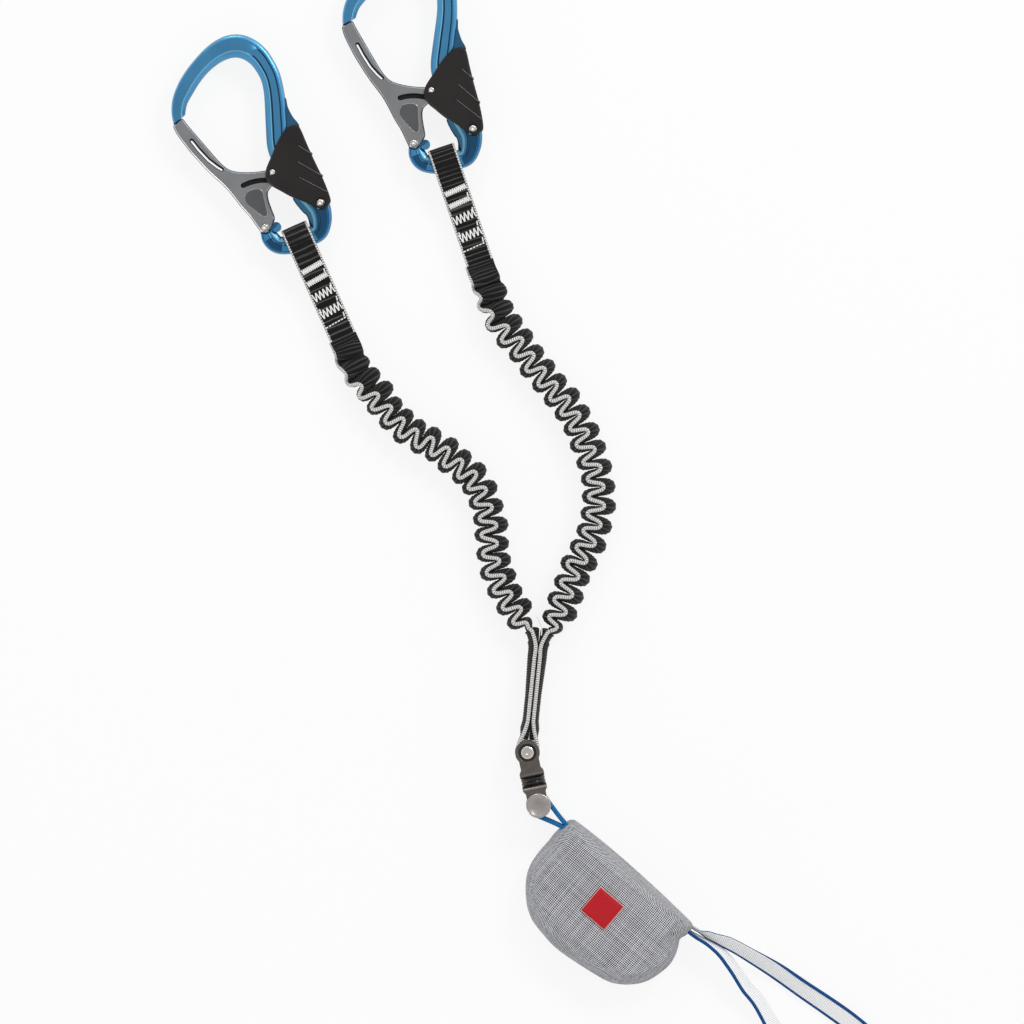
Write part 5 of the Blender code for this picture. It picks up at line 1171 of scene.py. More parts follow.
def strip_rows(centres, width_axes, width, thickness):
    """Rings of a woven strip with slightly raised edges."""
    total = lengths_along(centres)
    last = len(centres) - 1
    rows = []
    for i, (centre, axis) in enumerate(zip(centres, width_axes)):
        run = (centres[min(i + 1, last)] - centres[max(i - 1, 0)]).normalized()
        up = run.cross(axis).normalized()
        half = thickness / 2
        ring = [(centre + axis * (h * width / 2) + up * (t * half), total[i], h) for h, t in STRIP_SHARES]
        ring += [(centre + axis * (h * width / 2) - up * (t * half), total[i], h) for h, t in reversed(STRIP_SHARES)]
        rows.append(ring)
    return rows


def cord_mesh(lines, relief=KNOT_RELIEF):
    """Round woven edges along lines of (middle, aside, up, wide, tall), each with soft knots at every period."""
    work = bmesh.new()
    for line in lines:
        total = lengths_along([row[0] for row in line])
        rings = []
        for done, (middle, aside, up, wide, tall) in zip(total, line):
            knot = 1 + relief * (abs(math.sin(math.pi * done / KNOT_PERIOD)) - 1)
            rings.append([
                (middle + aside * (math.cos(a) * wide / 2 * knot) + up * (math.sin(a) * tall / 2 * knot),
                 done, math.sin(a))
                for a in (2 * math.pi * k / EDGE_STEPS for k in range(EDGE_STEPS))
            ])
        work.from_mesh(skin(rings))
    return finished(work, "cords")


def sewn_thread(name, points, radius, paint, body, matrix=None):
    """A stitched thread that lies on the webbing."""
    curve = bpy.data.curves.new(name, "CURVE")
    curve.dimensions = "3D"
    curve.bevel_depth = radius
    curve.bevel_resolution = 2
    curve.use_fill_caps = True
    for line in points:
        spline = curve.splines.new("POLY")
        spline.points.add(len(line) - 1)
        for point, place in zip(spline.points, line):
            point.co = (*place, 1)
    curve.materials.append(paint)
    obj = linked(name, curve)
    if matrix is not None:
        curve.transform(matrix)
    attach(obj, body)
    return obj


def placed(eye, angle):
    return Matrix.Translation((*eye, LOOP_HEIGHT)) @ Matrix.Rotation(math.radians(angle), 4, "Z")


# Carabiners

# Shares of the width from the inner edge outward, and drops below the face in metres: the basket and spine with
# a groove on each side of the middle panel, and the foot with a step down to its inner part and a rim groove.
SPINE_PROFILE = (
    (0.500, 0.0034), (0.490, 0.0024), (0.462, 0.0017), (0.245, 0.00012), (0.200, 0.0), (0.185, 0.0), (0.165, 0.0012),
    (0.140, 0.0012), (0.115, 0.0004), (-0.200, 0.0004), (-0.220, 0.0012), (-0.245, 0.0012), (-0.262, 0.0),
    (-0.300, 0.0), (-0.380, 0.0001), (-0.440, 0.0006), (-0.475, 0.0016), (-0.500, 0.0029),
)
FOOT_PROFILE = (
    (0.500, 0.0034), (0.480, 0.0028), (0.440, 0.0023), (0.300, 0.00175), (0.200, 0.0015), (0.120, 0.0014),
    (0.070, 0.0013), (0.040, 0.00125), (0.020, 0.0011), (-0.010, 0.0003), (-0.030, 0.00005), (-0.060, 0.0),
    (-0.335, 0.0), (-0.350, 0.0), (-0.375, 0.00045), (-0.400, 0.0001), (-0.460, 0.0003), (-0.500, 0.0016),
)
GROOVED_POINTS = range(6, 12)
FOOT_STARTS_SHARE, FOOT_ENDS_SHARE = 0.27, 0.17


def body_rings():
    """Sections of the forged bar, from the nose over the basket and down the spine to the gate's lug."""
    rings = []
    stations = thinned(smooth(sized_stations()))
    for i, (x, y, width, thickness, channel) in enumerate(stations):
        before = stations[max(i - 1, 0)]
        after = stations[min(i + 1, len(stations) - 1)]
        run = Vector((after[0] - before[0], after[1] - before[1])).normalized()
        inward = Vector((run[1], -run[0]))
        half = thickness / 2
        depth = clamped(channel / CHANNEL_DEPTH)
        foot = (FOOT_STARTS_SHARE - y / CARABINER_LENGTH) / (FOOT_STARTS_SHARE - FOOT_ENDS_SHARE)
        foot = eased(foot)
        upper = []
        for k, ((a, drop), (foot_a, foot_drop)) in enumerate(zip(SPINE_PROFILE, FOOT_PROFILE)):
            if k in GROOVED_POINTS:
                drop *= depth
            upper.append(((a + (foot_a - a) * foot) * width, half - drop - (foot_drop - drop) * foot))
        section = [*upper, *((a, -z) for a, z in reversed(upper))]
        rings.append([(x + inward[0] * a, y + inward[1] * a, z) for a, z in section])
    return rings


# faces of each section: grooves and rims take painted shade, the inner chamfer a painted highlight
GROOVE_FACES, RIM_FACES, CHAMFER_FACES = (5, 6, 7, 9, 10, 11), (0, 16), (3,)


def with_painted_shade_and_highlight(bar):
    """The bar with its grooves and rims marked for painted shade, and its inner chamfer for a painted highlight."""
    depths = [station[4] / CHANNEL_DEPTH for station in thinned(smooth(sized_stations()))]
    for paint in BLUE_WITH_PAINTED_LIGHT:
        bar.materials.append(paint)
    count = 2 * len(SPINE_PROFILE)
    for face in bar.polygons[:count * (len(depths) - 1)]:
        row, k = divmod(face.index, count)
        k = min(k, count - 2 - k)
        if k in RIM_FACES or k in GROOVE_FACES and depths[row] > 0.25:
            face.material_index = 1
        elif k in CHAMFER_FACES:
            face.material_index = 2
    return bar


RIDGE_FOOT = 0.0013


def ridge_mesh(start, end, face):
    """A peaked ridge on one face of the lever, which fades out at its inner end."""
    low, high = Vector(start), Vector(end)
    run = (high - low).normalized()
    high += run * RIDGE_HEIGHT
    side = Vector((-run[1], run[0])) * RIDGE_FOOT / 2
    base, peak = LEVER_HALF - RIDGE_HEIGHT, LEVER_HALF + RIDGE_HEIGHT
    rings = []
    for place, wide, top in ((low, 0.3, base + RIDGE_HEIGHT * 1.05), (low + run * 2 * RIDGE_FOOT, 1.0, peak),
                             (high, 1.0, peak)):
        left, right = place + side * wide, place - side * wide
        rings.append([(*left, face * base), (*right, face * base), (*place, face * top)])
    return loft(rings)


def lever_mesh():
    outline = rounded_outline(LEVER_SHARES)
    palm = [at(s) for s in PALM_WALL_SHARES]
    inner = [(x - LEVER_WALL, y) for x, y in palm]
    top, foot = inner[0][1], inner[-1][1]
    far = CARABINER_LENGTH
    room = [(far, top), *inner, (far, foot), (far, -far), (-far, -far), (-far, far), (far, far)]
    steps = [("UNION", ridge_mesh(at(start), at(end), face)) for start, end in RIDGE_SHARES for face in (1, -1)]
    over = LEVER_HALF + CUT_OVERRUN
    steps.append(("DIFFERENCE", outline_solid([room], -LEVER_SLOT_HALF, LEVER_SLOT_HALF)))
    steps.append(("DIFFERENCE", cylinder(RIVET_RADIUS + GAP, -over, over, LEVER_PIVOT)))
    steps.append(("DIFFERENCE", cylinder(LOCK_STUD_RADIUS + GAP, -over, over, LOCK_POINT)))
    for low, high in ((LEVER_HALF - RIVET_RECESS_DEPTH, over), (-over, RIVET_RECESS_DEPTH - LEVER_HALF)):
        steps.append(("DIFFERENCE", cylinder(RIVET_RECESS_RADIUS, low, high, LEVER_PIVOT)))
    return shaped(outline_solid([outline], -LEVER_HALF, LEVER_HALF), steps, bevel=LEVER_EDGE)


DIMPLE_DEPTH = 0.00025


def headed_profile(radius, top):
    """The upper end of a rivet: a rounded rim round a shallow dimple, from its middle outward."""
    return [(0, top - DIMPLE_DEPTH), (radius * 0.22, top - DIMPLE_DEPTH), (radius * 0.34, top - DIMPLE_DEPTH * 0.2),
            (radius * 0.48, top), (radius * 0.66, top - radius * 0.02), (radius * 0.84, top - radius * 0.10),
            (radius * 0.95, top - radius * 0.22), (radius, top - radius * 0.42)]


def rivet_mesh(radius, half, centre):
    upper = headed_profile(radius, half)
    mesh = turned([*upper, *((r, -z) for r, z in reversed(upper))])
    mesh.transform(Matrix.Translation((*centre, 0)))
    return mesh


def stud_mesh(tip, face):
    """A lock stud from its tip at the gate's arm to its riveted head in one plate of the lever, at face."""
    upper = headed_profile(LOCK_STUD_RADIUS, abs(face))
    profile = [*upper, (LOCK_STUD_RADIUS, abs(tip)), (0, abs(tip))]
    if face < 0:
        profile = [(r, -z) for r, z in reversed(profile)]
    mesh = turned(profile)
    mesh.transform(Matrix.Translation((*LOCK_POINT, 0)))
    return mesh


def make_carabiner(side, eye, angle):
    where = placed(eye, angle)
    body, gate, lever = f"{side}_carabiner", f"{side}_gate_unit", f"{side}_lever_unit"
    show(f"{side}_forged_body", BODY_MESH.copy(), BLUE, body, [f"{side}_carabiner_body"], where, 30)
    arm = show(f"{side}_gate_arm", GATE_MESH.copy(), GREY, gate, [f"{side}_gate"], where, 30)
    face = GATE_THICKNESS / 2
    paint_floors(arm, GROOVE, LOOP_HEIGHT, (face - GROOVE_DEPTH, face - WINDOW_STEP))
    # painted highlight on the chamfers
    paint_chamfers(arm, GREY_PAINTED_HIGHLIGHT)
    show(f"{side}_palm_lever_shell", LEVER_MESH.copy(), LEVER_BLACK, lever, [f"{side}_palm_lever"], where, 30)
    stud_tip, stud_face = GATE_THICKNESS / 2 + GAP, LEVER_HALF + RIVET_PROUD
    rivets = (
        ("gate_rivet", rivet_mesh(RIVET_RADIUS, GATE_THICKNESS / 2 + RIVET_PROUD, GATE_PIVOT), body),
        ("lever_rivet", rivet_mesh(RIVET_RADIUS, stud_face, LEVER_PIVOT), body),
        ("lock_stud_front", stud_mesh(stud_tip, stud_face), lever),
        ("lock_stud_back", stud_mesh(stud_tip, -stud_face), lever),
    )
    for node, mesh, rides in rivets:
        show(f"{side}_{node}_domed", mesh, BRIGHT, rides, [f"{side}_{node}"], where, 50)
    for node, paint in (("gate_plunger", BRIGHT), ("gate_spring", SPRING), ("lever_spring", SPRING)):
        paint_node(f"{side}_{node}", paint)


BODY_MESH, GATE_MESH, LEVER_MESH = carabiner_body_mesh(), gate_mesh(), lever_mesh()


# Webbing of the arms

def end_loop_path():
    """The middle of the webbing: along the tail's upper layer, round the bar and back along the lower layer."""
    middle = LOOP_OUTER_RADIUS - WEBBING_THICKNESS / 2
    layer = (SEAM_THICKNESS - WEBBING_THICKNESS) / 2
    neck = math.hypot(LOOP_NECK, layer)
    leave = math.degrees(math.acos(middle / neck) + math.atan2(layer, LOOP_NECK))
    half = [(SEWN_LENGTH + WRAP_GAP - k * (SEWN_LENGTH + WRAP_GAP - LOOP_NECK) / 30, layer) for k in range(30)]
    bend = arc((0, 0), middle, leave, 360 - leave, 40)
    line = [*half, (LOOP_NECK, layer), *bend, (LOOP_NECK, -layer), *((a, -b) for a, b in reversed(half))]
    return [Vector((0, -a, b)) for a, b in line]


TACKS = (  # place from the bar's middle, height along the tail, width across it, and one stroke's width
    (0.0168, 0.0030, 0.0128, 0.00060), (0.0242, 0.0030, 0.0128, 0.00060),
    (0.0331, 0.0050, 0.0132, 0.00120), (0.0438, 0.0050, 0.0132, 0.00120),
)
SIDE_STROKES = ((0.0200, 1), (0.0290, 1), (0.0375, 1), (0.0405, -1), (0.0475, 1))
SIDE_STROKE_LENGTH = 0.0026
SIDE_STROKE_LEAN = 0.0004
TACK_THREAD = 0.00040
TACK_TILT = -0.10
DASH_PLACE = 0.0515
DASHES = 7
DASH_ROW_SHARE = 0.86
DASH_SHARE = 0.6
LOOP_EDGE_WIDTH = 0.0015


def surface_height(reach):
    """Height of the upper face of the sewn tail, reach from the bar's middle."""
    layer = SEAM_THICKNESS / 2
    if reach >= LOOP_NECK:
        return layer
    outer = LOOP_OUTER_RADIUS
    neck = math.hypot(LOOP_NECK, layer)
    leave = math.acos(outer / neck) + math.atan2(layer, LOOP_NECK)
    foot = (outer * math.cos(leave), outer * math.sin(leave))
    share = (reach - foot[0]) / (LOOP_NECK - foot[0])
    return foot[1] + (layer - foot[1]) * share


def make_end_loop(side, eye, angle):
    where = placed(eye, angle)
    line, runs, _ = spaced(smooth(end_loop_path(), 3), WEBBING_THICKNESS / 4)
    across = Vector((1, 0, 0))
    total = lengths_along(line)
    ribbed = [
        p + run.cross(across).normalized() * RIB_RELIEF * math.sin(2 * math.pi * done / LOOP_RIBS[side])
        for p, run, done in zip(line, runs, total)
    ]
    inner = WEBBING_WIDTH - LOOP_EDGE_WIDTH
    mesh = skin(strip_rows(ribbed, [across] * len(line), inner, WEBBING_THICKNESS - 2 * RIB_RELIEF))
    show(f"{side}_sewn_loop", mesh, LOOP_BLACK[side], "arms", [f"{side}_end_loop"], where, 60)
    edges = [
        [(p + across * way * (WEBBING_WIDTH - LOOP_EDGE_WIDTH) / 2, across, run.cross(across).normalized(),
          LOOP_EDGE_WIDTH, WEBBING_THICKNESS) for p, run in zip(line, runs)]
        for way in (1, -1)
    ]
    show(f"{side}_loop_edges", cord_mesh(edges), LOOP_BRAID, "arms", (), where, 70)
    for face in (1, -1):
        lines = []
        for place, height, width, stroke in TACKS:
            count = round(width / stroke)
            zigzag = []
            for k in range(count + 1):
                reach = place + (height / 2 if k % 2 else -height / 2)
                x = -width / 2 + width * k / count
                zigzag.append(Vector((x, -reach - x * TACK_TILT, face * (surface_height(reach) + TACK_THREAD * 0.6))))
            lines += [list(stroke) for stroke in zip(zigzag, zigzag[1:])]
        for k in range(DASHES):
            start = WEBBING_WIDTH * (k / DASHES - 0.5) * DASH_ROW_SHARE
            ends = (start, start + WEBBING_WIDTH / DASHES * DASH_SHARE)
            z = face * (surface_height(DASH_PLACE) + TACK_THREAD / 2)
            lines.append([Vector((x, -DASH_PLACE - x * TACK_TILT, z)) for x in ends])
        for place, way in SIDE_STROKES:
            x = way * (WEBBING_WIDTH / 2 - LOOP_EDGE_WIDTH - TACK_THREAD)
            z = face * (surface_height(place) + TACK_THREAD / 2)
            lines.append([
                Vector((x, -place, z)), Vector((x - way * SIDE_STROKE_LEAN, -place - SIDE_STROKE_LENGTH, z))])
        name = f"{side}_stitching_{'top' if face > 0 else 'back'}"
        stitches = sewn_thread(name, lines, TACK_THREAD, WHITE_THREAD, "arms", where)


def pleated_rows(pleats, route, start, start_run, end, end_run, shift):
    """Rings of the gathered webbing and of its two woven edges, from the same curves as its solid."""
    start, end = Vector((*start, LOOP_HEIGHT)), Vector((*end, ARM_HEIGHT))
    lead, follow = start_run * ARM_LEAD_LENGTH, end_run * CROTCH_LEAD_LENGTH
    places = [start, start + lead, *(Vector((x, y, ARM_HEIGHT)) for x, y in route), end - follow, end]
    dense = smooth(places, 24)
    points, runs, length = spaced(dense, lengths_along(dense)[-1] / pleats / POINTS_A_PLEAT)
    pace = 2 * math.pi * pleats / length
    samples = []
    for i, (point, run) in enumerate(zip(points, runs)):
        done = length * i / (len(points) - 1)
        opened = min(1, done / ARM_GATHER_LENGTH)
        gathered = eased(min(opened, (length - done) / ARM_END_LENGTH))
        roll = math.radians(90) * eased(done / ARM_TWIST_LENGTH)
        width_axis = run.cross(UP).normalized() * math.cos(roll) + UP * math.sin(roll)
        swing = gathered * (FACE_UP_SWING_SHARE + (1 - FACE_UP_SWING_SHARE) * math.sin(roll))
        middle = point + UP * PLEAT_EDGE_SWING * swing * math.sin(2 * roll) / 2
        phase = pace * done
        uneven = 1 + PLEAT_UNEVENNESS * noise.noise(Vector((done * PLEAT_NOISE_SCALE, shift, 0)))
        wave = (math.sin(phase) + PLEAT_FLATNESS_SHARE * math.sin(3 * phase)) * swing * uneven
        ahead = -run * gathered / pace * math.sin(2 * phase)
        samples.append((middle, width_axis, run.cross(width_axis).normalized(), wave, ahead, gathered, opened))

    def centre(i, height):
        middle, width_axis, facing, wave, ahead, gathered, _ = samples[i]
        belly = 1 - abs(height) ** 2.2
        reach = PLEAT_EDGE_SWING + (PLEAT_BELLY_SWING - PLEAT_EDGE_SWING) * belly
        share = PLEAT_EDGE_FULLNESS_SHARE + (PLEAT_FULLNESS_SHARE - PLEAT_EDGE_FULLNESS_SHARE) * belly
        return middle + ahead * share + width_axis * (height * WEBBING_WIDTH / 2) + facing * (
            reach * wave + height * PLEAT_LEAN * gathered)

    last = len(samples) - 1
    web, edges = [], ([], [])
    travelled = 0.0
    for i in range(last + 1):
        before, after = max(i - 1, 0), min(i + 1, last)
        _, width_axis, _, _, _, gathered, opened = samples[i]
        if i:
            travelled += (centre(i, 0) - centre(i - 1, 0)).length
        front, back = [], []
        rib = RIB_RELIEF * gathered * math.sin(2 * math.pi * travelled / ARM_RIB)
        for height in HEIGHT_SHARES:
            middle = centre(i, height)
            heading = (centre(after, height) - centre(before, height)).normalized()
            aside = heading.cross(width_axis).normalized()
            edge = SEAM_THICKNESS + (PLEAT_EDGE_THICKNESS * 0.8 - SEAM_THICKNESS) * opened
            belly = SEAM_THICKNESS + (BELLY_FULLNESS - SEAM_THICKNESS) * eased(opened) * (0.5 + gathered / 2)
            half = (edge + (belly - edge) * (1 - height ** 4)) / 2 + rib
            front.append((middle + aside * half, travelled, height * WEB_MARK_SHARE))
            back.append((middle - aside * half, travelled, height * WEB_MARK_SHARE))
        web.append([*front, *reversed(back)])
        for line, height in zip(edges, EDGE_PLACES):
            heading = (centre(after, height) - centre(before, height)).normalized()
            wide = SEAM_THICKNESS + (EDGE_WIDTH - SEAM_THICKNESS) * opened
            line.append((centre(i, height), heading.cross(width_axis).normalized(), width_axis, wide, EDGE_HEIGHT))
    return web, edges


def make_arm(side, eye, loop_angle, pleats, route, way):
    turn = math.radians(loop_angle)
    start_run = Vector((math.sin(turn), -math.cos(turn), 0))
    end, end_run = stem_end(way)
    tail = loop_tail(eye, loop_angle)
    web, edges = pleated_rows(pleats, route, tail, start_run, end, -end_run, way * PLEAT_NOISE_SHIFT)
    show(f"{side}_gathered_webbing", skin(web), ARM_BLACK, "arms", [f"{side}_elastic_arm"], sharp=70)
    show(f"{side}_woven_edges", cord_mesh(edges), BRAID, "arms", sharp=70)


STEM_FULLNESS_OUT = 0.0028
STEM_BRAID_SHIFT = 0.0003
STEM_MIDDLE_GAP = -0.00005
STEM_END_TAPER = 0.0015
STEM_RISE_SHARE = 0.9
STEM_FILL_LENGTH = 0.002
CROTCH_THREAD = ((-0.0009, 0.1098), (0.0004, 0.1068), (0.0016, 0.1040), (0.0019, 0.1012), (0.0016, 0.0985))
CROTCH_THREAD_RADIUS = 0.00035


def stem_line():
    """The stem's centreline, down one side, round the upper bush and up the other side, as its solid has it."""
    foot, run, side, length = stem_frame()
    round_pin = BUSH_RADIUS + WRAP_GAP + STEM_EDGE_THICKNESS / 2
    turn = math.radians(STEM_FLARE_ANGLE)
    half = [(STEM_SPREAD + STEM_FLARE - math.sin(turn) * back, length + STEM_FLARE_LENGTH - math.cos(turn) * back)
            for back in (0, STEM_FLARE_LENGTH / 2)]
    half += [(STEM_SPREAD, length * share) for share in (0.94, 0.82, 0.7, 0.55, 0.42, 0.3)]
    half += [(STEM_SPREAD + (round_pin - STEM_SPREAD) * share, round_pin * reach)
             for share, reach in ((0.08, 2.8), (0.4, 1.8), (0.8, 0.9))]
    bend = arc((0, 0), round_pin, 0, -180, 8)
    line = [*half, *bend, *((-x, y) for x, y in reversed(half))]
    rise = SWIVEL_HEIGHT - ARM_HEIGHT
    clear = CLEVIS_EAR_RADIUS + 2 * WEBBING_THICKNESS
    return smooth([
        foot + side * x + run * y
        + Vector((0, 0, SWIVEL_HEIGHT - rise * clamped((y - clear) / (length * STEM_RISE_SHARE - clear))))
        for x, y in line
    ], 10)


def make_stem():
    foot, run, side, length = stem_frame()
    points, runs, total = spaced(stem_line(), WEBBING_THICKNESS / 8)
    edge = STEM_EDGE_THICKNESS / 2
    web, edges = [], ([], [])
    for i, (point, heading) in enumerate(zip(points, runs)):
        travelled = total * i / (len(points) - 1)
        reach = (point - foot).dot(run)
        free = max(0, 2 * reach / length - 1)
        clear = eased(reach / CLEVIS_EAR_RADIUS - 1)
        rib = RIB_RELIEF * math.sin(2 * math.pi * travelled / ARM_RIB)
        apart = abs((point - foot).dot(side)) - STEM_MIDDLE_GAP
        filled = eased((reach - CLEVIS_EAR_RADIUS) / STEM_FILL_LENGTH)
        filled *= eased((length + STEM_FLARE_LENGTH - reach) / STEM_END_TAPER)
        inner = edge * 0.8 + max(0, apart - edge * 0.8) * filled
        outer = edge * 0.8 + (STEM_FULLNESS_OUT - edge * 0.8) * clear
        outer += (STEM_BELLY_OUT - outer) * free * min(1, max(0.4, (length - reach) / STEM_END_TAPER)) + rib
        thin = heading.cross(UP).normalized()  # towards the other strand
        front, back = [], []
        for height in HEIGHT_SHARES:
            swell = 1 - abs(height) ** 3.2
            middle = point + UP * height * WEBBING_WIDTH / 2
            full = 1 - abs(height) ** 10
            mark = height * WEB_MARK_SHARE
            front.append((middle + thin * (edge * 0.7 + (inner - edge * 0.7) * full), travelled, mark))
            back.append((middle - thin * (edge * 0.9 + (outer - edge * 0.9) * swell), travelled, mark))
        web.append([*front, *reversed(back)])
        for line, height in zip(edges, EDGE_PLACES):
            place = point + UP * height * WEBBING_WIDTH / 2 + thin * STEM_BRAID_SHIFT * clear
            line.append((place, thin, UP, STEM_EDGE_THICKNESS, EDGE_HEIGHT))
    show("stem_webbing_skin", skin(web), ARM_BLACK, "arms", ["stem_webbing"], sharp=70)
    show("stem_woven_edges", cord_mesh(edges), BRAID, "arms", sharp=70)
    top = ARM_HEIGHT + WEBBING_WIDTH / 2 + CROTCH_THREAD_RADIUS
    line = smooth([(x, y, top) for x, y in CROTCH_THREAD], 6)
    sewn = sewn_thread("crotch_thread", [line], CROTCH_THREAD_RADIUS, WHITE_THREAD, "arms")


# Swivel

UPPER_FACE = ((0.0, 0.0007), (0.0008, 0.0007), (0.0011, 0.0001), (0.0018, 0.0), (0.0030, 0.0001), (0.0036, 0.0004),
              (0.0038, 0.0008))
LOWER_FACE = ((0.0, 0.0002), (0.0058, 0.0002), (0.0061, 0.0), (0.0067, 0.0), (0.0070, 0.0002), (0.0072, 0.0006))
WASHER_ROUND = 0.0004
WASHER_FILL = 0.45
CLEVIS_ROUND = 0.0003


def headed_pin(face):
    """A pin through both ears whose two heads have this face: radii, and drops below the top."""
    radius = face[-1][0]
    half = SWIVEL_HEIGHT
    upper = [*((r, half - drop) for r, drop in face), (radius, half - PIN_HEAD), (PIN_RADIUS, half - PIN_HEAD)]
    return turned([*upper, *((r, -z) for r, z in reversed(upper))])


def washer_mesh(inner, outer, bottom, top, turn):
    """A washer with a rounded rim."""
    middle = (bottom + top) / 2
    rim = [(outer - WASHER_ROUND * (1 - math.cos(a)), middle + (top - middle) * math.sin(a))
           for a in (math.radians(90 - 15 * k) for k in range(13))]
    mesh = turned([(inner, top), *rim, (inner, bottom)], closed=True)
    mesh.transform(turn)
    return mesh


def make_swivel():
    where = Matrix.Translation((0, 0, SWIVEL_HEIGHT)) @ Matrix.Rotation(math.radians(SWIVEL_ANGLE), 4, "Z")
    flip = Matrix.Translation((0, SWIVEL_SPAN, 0)) @ Matrix.Rotation(math.radians(180), 4, "Z")
    for name, mesh, paint, matrix, slot, edge in (
        ("lower_clevis", clevis_mesh(LOWER_BASE_REACH, recess=False), STEEL, where, "brushed_steel", CLEVIS_ROUND),
        ("upper_clevis", clevis_mesh(UPPER_BASE_REACH, recess=True), STEEL, where @ flip, "brushed_steel",
         CLEVIS_ROUND),
        ("lower_pin", headed_pin(LOWER_FACE), CAP, where, "brushed_steel", 0.0),
        ("upper_pin", headed_pin(UPPER_FACE), BRIGHT, where @ flip, "bright_steel", 0.0),
    ):
        obj = show(f"{name}_finished", mesh, paint, f"{name.split('_')[0]}_swivel", [name], matrix, 35, edge)
        if name == "upper_clevis":
            # painted shade on the floor of the recess round the pin
            paint_floors(obj, RECESS_PAINTED_SHADE, SWIVEL_HEIGHT, (CLEVIS_GAP / 2 + CLEVIS_PLATE - UPPER_RECESS_DEPTH,))
    hole = SWIVEL_RIVET_RADIUS + WASHER_HOLE_CLEARANCE
    for side, start in (("lower", LOWER_BASE_REACH + GAP), ("upper", LOWER_BASE_REACH + WASHER_THICKNESS + 2 * GAP)):
        end = start + WASHER_THICKNESS + WASHER_FILL * GAP
        washer = washer_mesh(hole, WASHER_RADIUS, start - WASHER_FILL * GAP, end, LYING)
        show(f"{side}_washer_moulded", washer, SPOOL, f"{side}_swivel", [f"{side}_thrust_washer"], where, 50)
    for node, paint in (("lower_bush", BUSH), ("upper_bush", BUSH), ("swivel_rivet", BRIGHT)):
        paint_node(node, paint)


# Absorber, pouch and tie-in loop

ABSORBER_EDGE = 0.0026
TIE_EDGE = 0.0021


TIE_EDGE_SHARES = (  # how much of each edge's blue braid faces up, along the webbing
    ((0.0, 0.25), (0.09, 0.25), (0.17, 1.0), (1.0, 1.0)), ((0.0, 1.0), (0.74, 1.0), (0.80, 0.25), (1.0, 0.25)),
)
EVEN_SHARES = (((0.0, 1.0), (1.0, 1.0)),) * 2


def edged_strip(name, node, centres, axes, width, thickness, edge_width, edge_paint, edge_shares=EVEN_SHARES):
    """White ribbed webbing with a round blue edge woven along each side, which stands for one soft solid."""
    runs = [(b - a).normalized() for a, b in zip(centres, [*centres[1:], 2 * centres[-1] - centres[-2]])]
    inner = width - edge_width
    show(name, skin(strip_rows(centres, axes, inner, thickness * 0.8)), WHITE_STRIP, "absorber", [node], sharp=60)
    edges = []
    for way, shares in zip((1, -1), edge_shares):
        line = []
        for i, (p, axis, run) in enumerate(zip(centres, axes, runs)):
            wide = edge_width * along(shares, i / (len(centres) - 1))
            line.append((p + axis * way * (width - edge_width) / 2, run.cross(axis).normalized(), axis, wide, wide))
        edges.append(line)
    show(f"{name}_edges", cord_mesh(edges, KNOT_RELIEF / 2), edge_paint, "absorber", sharp=70)


def make_absorber_loop():
    radius = BUSH_RADIUS + WRAP_GAP + ABSORBER_THICKNESS / 2
    apex = Vector((*ABSORBER_APEX, 0))
    run = apex.normalized()
    side = Vector((-run[1], run[0], 0))
    reach = apex.length
    close = ABSORBER_THICKNESS / 2 + GAP
    leave = math.degrees(math.asin((radius - close) / reach))
    half = [(reach + ABSORBER_TAIL, close), (reach + ABSORBER_TAIL / 2, close), (reach, close)]
    bend = arc((0, 0), radius, 90 - leave, 270 + leave, 12)
    line = [*half, *bend, *((x, -y) for x, y in reversed(half))]
    dense = smooth([run * x + side * y + Vector((0, 0, SWIVEL_HEIGHT)) for x, y in line], 12)
    points, _, _ = spaced(dense, ABSORBER_THICKNESS / 8)
    axes = [UP] * len(points)
    edged_strip("absorber_loop_webbing", "absorber_loop", points, axes, ABSORBER_WIDTH, ABSORBER_THICKNESS,
                ABSORBER_EDGE, BLUE_BRAID)


EDGE_CLEARANCE = 0.0001


def make_tie_in_loop():
    dense = smooth([Vector((x, y, 0)) for x, y in TIE_ROUTE], 24)
    points, runs, _ = spaced(dense, TIE_WIDTH / 40)
    count = len(points) - 1
    centres, axes = [], []
    for i, (point, run) in enumerate(zip(points, runs)):
        share = i / count
        roll = math.radians(90) * along(TIE_ROLL_SHARES, share)
        rest = TIE_WIDTH / 2 * math.sin(roll) + TIE_THICKNESS / 2 * abs(math.cos(roll)) + FLOOR_CLEARANCE
        lift = along(TIE_REST_SHARES, share)
        centres.append(point + UP * (rest + EDGE_CLEARANCE + (SWIVEL_HEIGHT - rest) * lift))
        axes.append(run.cross(UP).normalized() * math.cos(roll) + UP * math.sin(roll))
    edged_strip("tie_in_webbing", "tie_in_loop", centres, axes, TIE_WIDTH, TIE_THICKNESS, TIE_EDGE,
                NAVY_BRAID, TIE_EDGE_SHARES)


POUCH_VOXEL = 0.0022
POUCH_START_SHARE = 0.975
POUCH_SWELL = 0.0016
POUCH_RISE = 0.0004
POUCH_STEPS = 20
POUCH_FLOOR = 0.0004
POUCH_HEIGHT_LOSS = 0.0012
POUCH_ROUND_SHARES = (  # height, and the outline's scale there
    (0.000, 0.860), (0.030, 0.905), (0.080, 0.940), (0.160, 0.968), (0.280, 0.988), (0.420, 0.998), (0.560, 1.000),
    (0.700, 0.988), (0.820, 0.962), (0.905, 0.922), (0.960, 0.872), (0.990, 0.790), (1.000, 0.640), (1.004, 0.400),
)


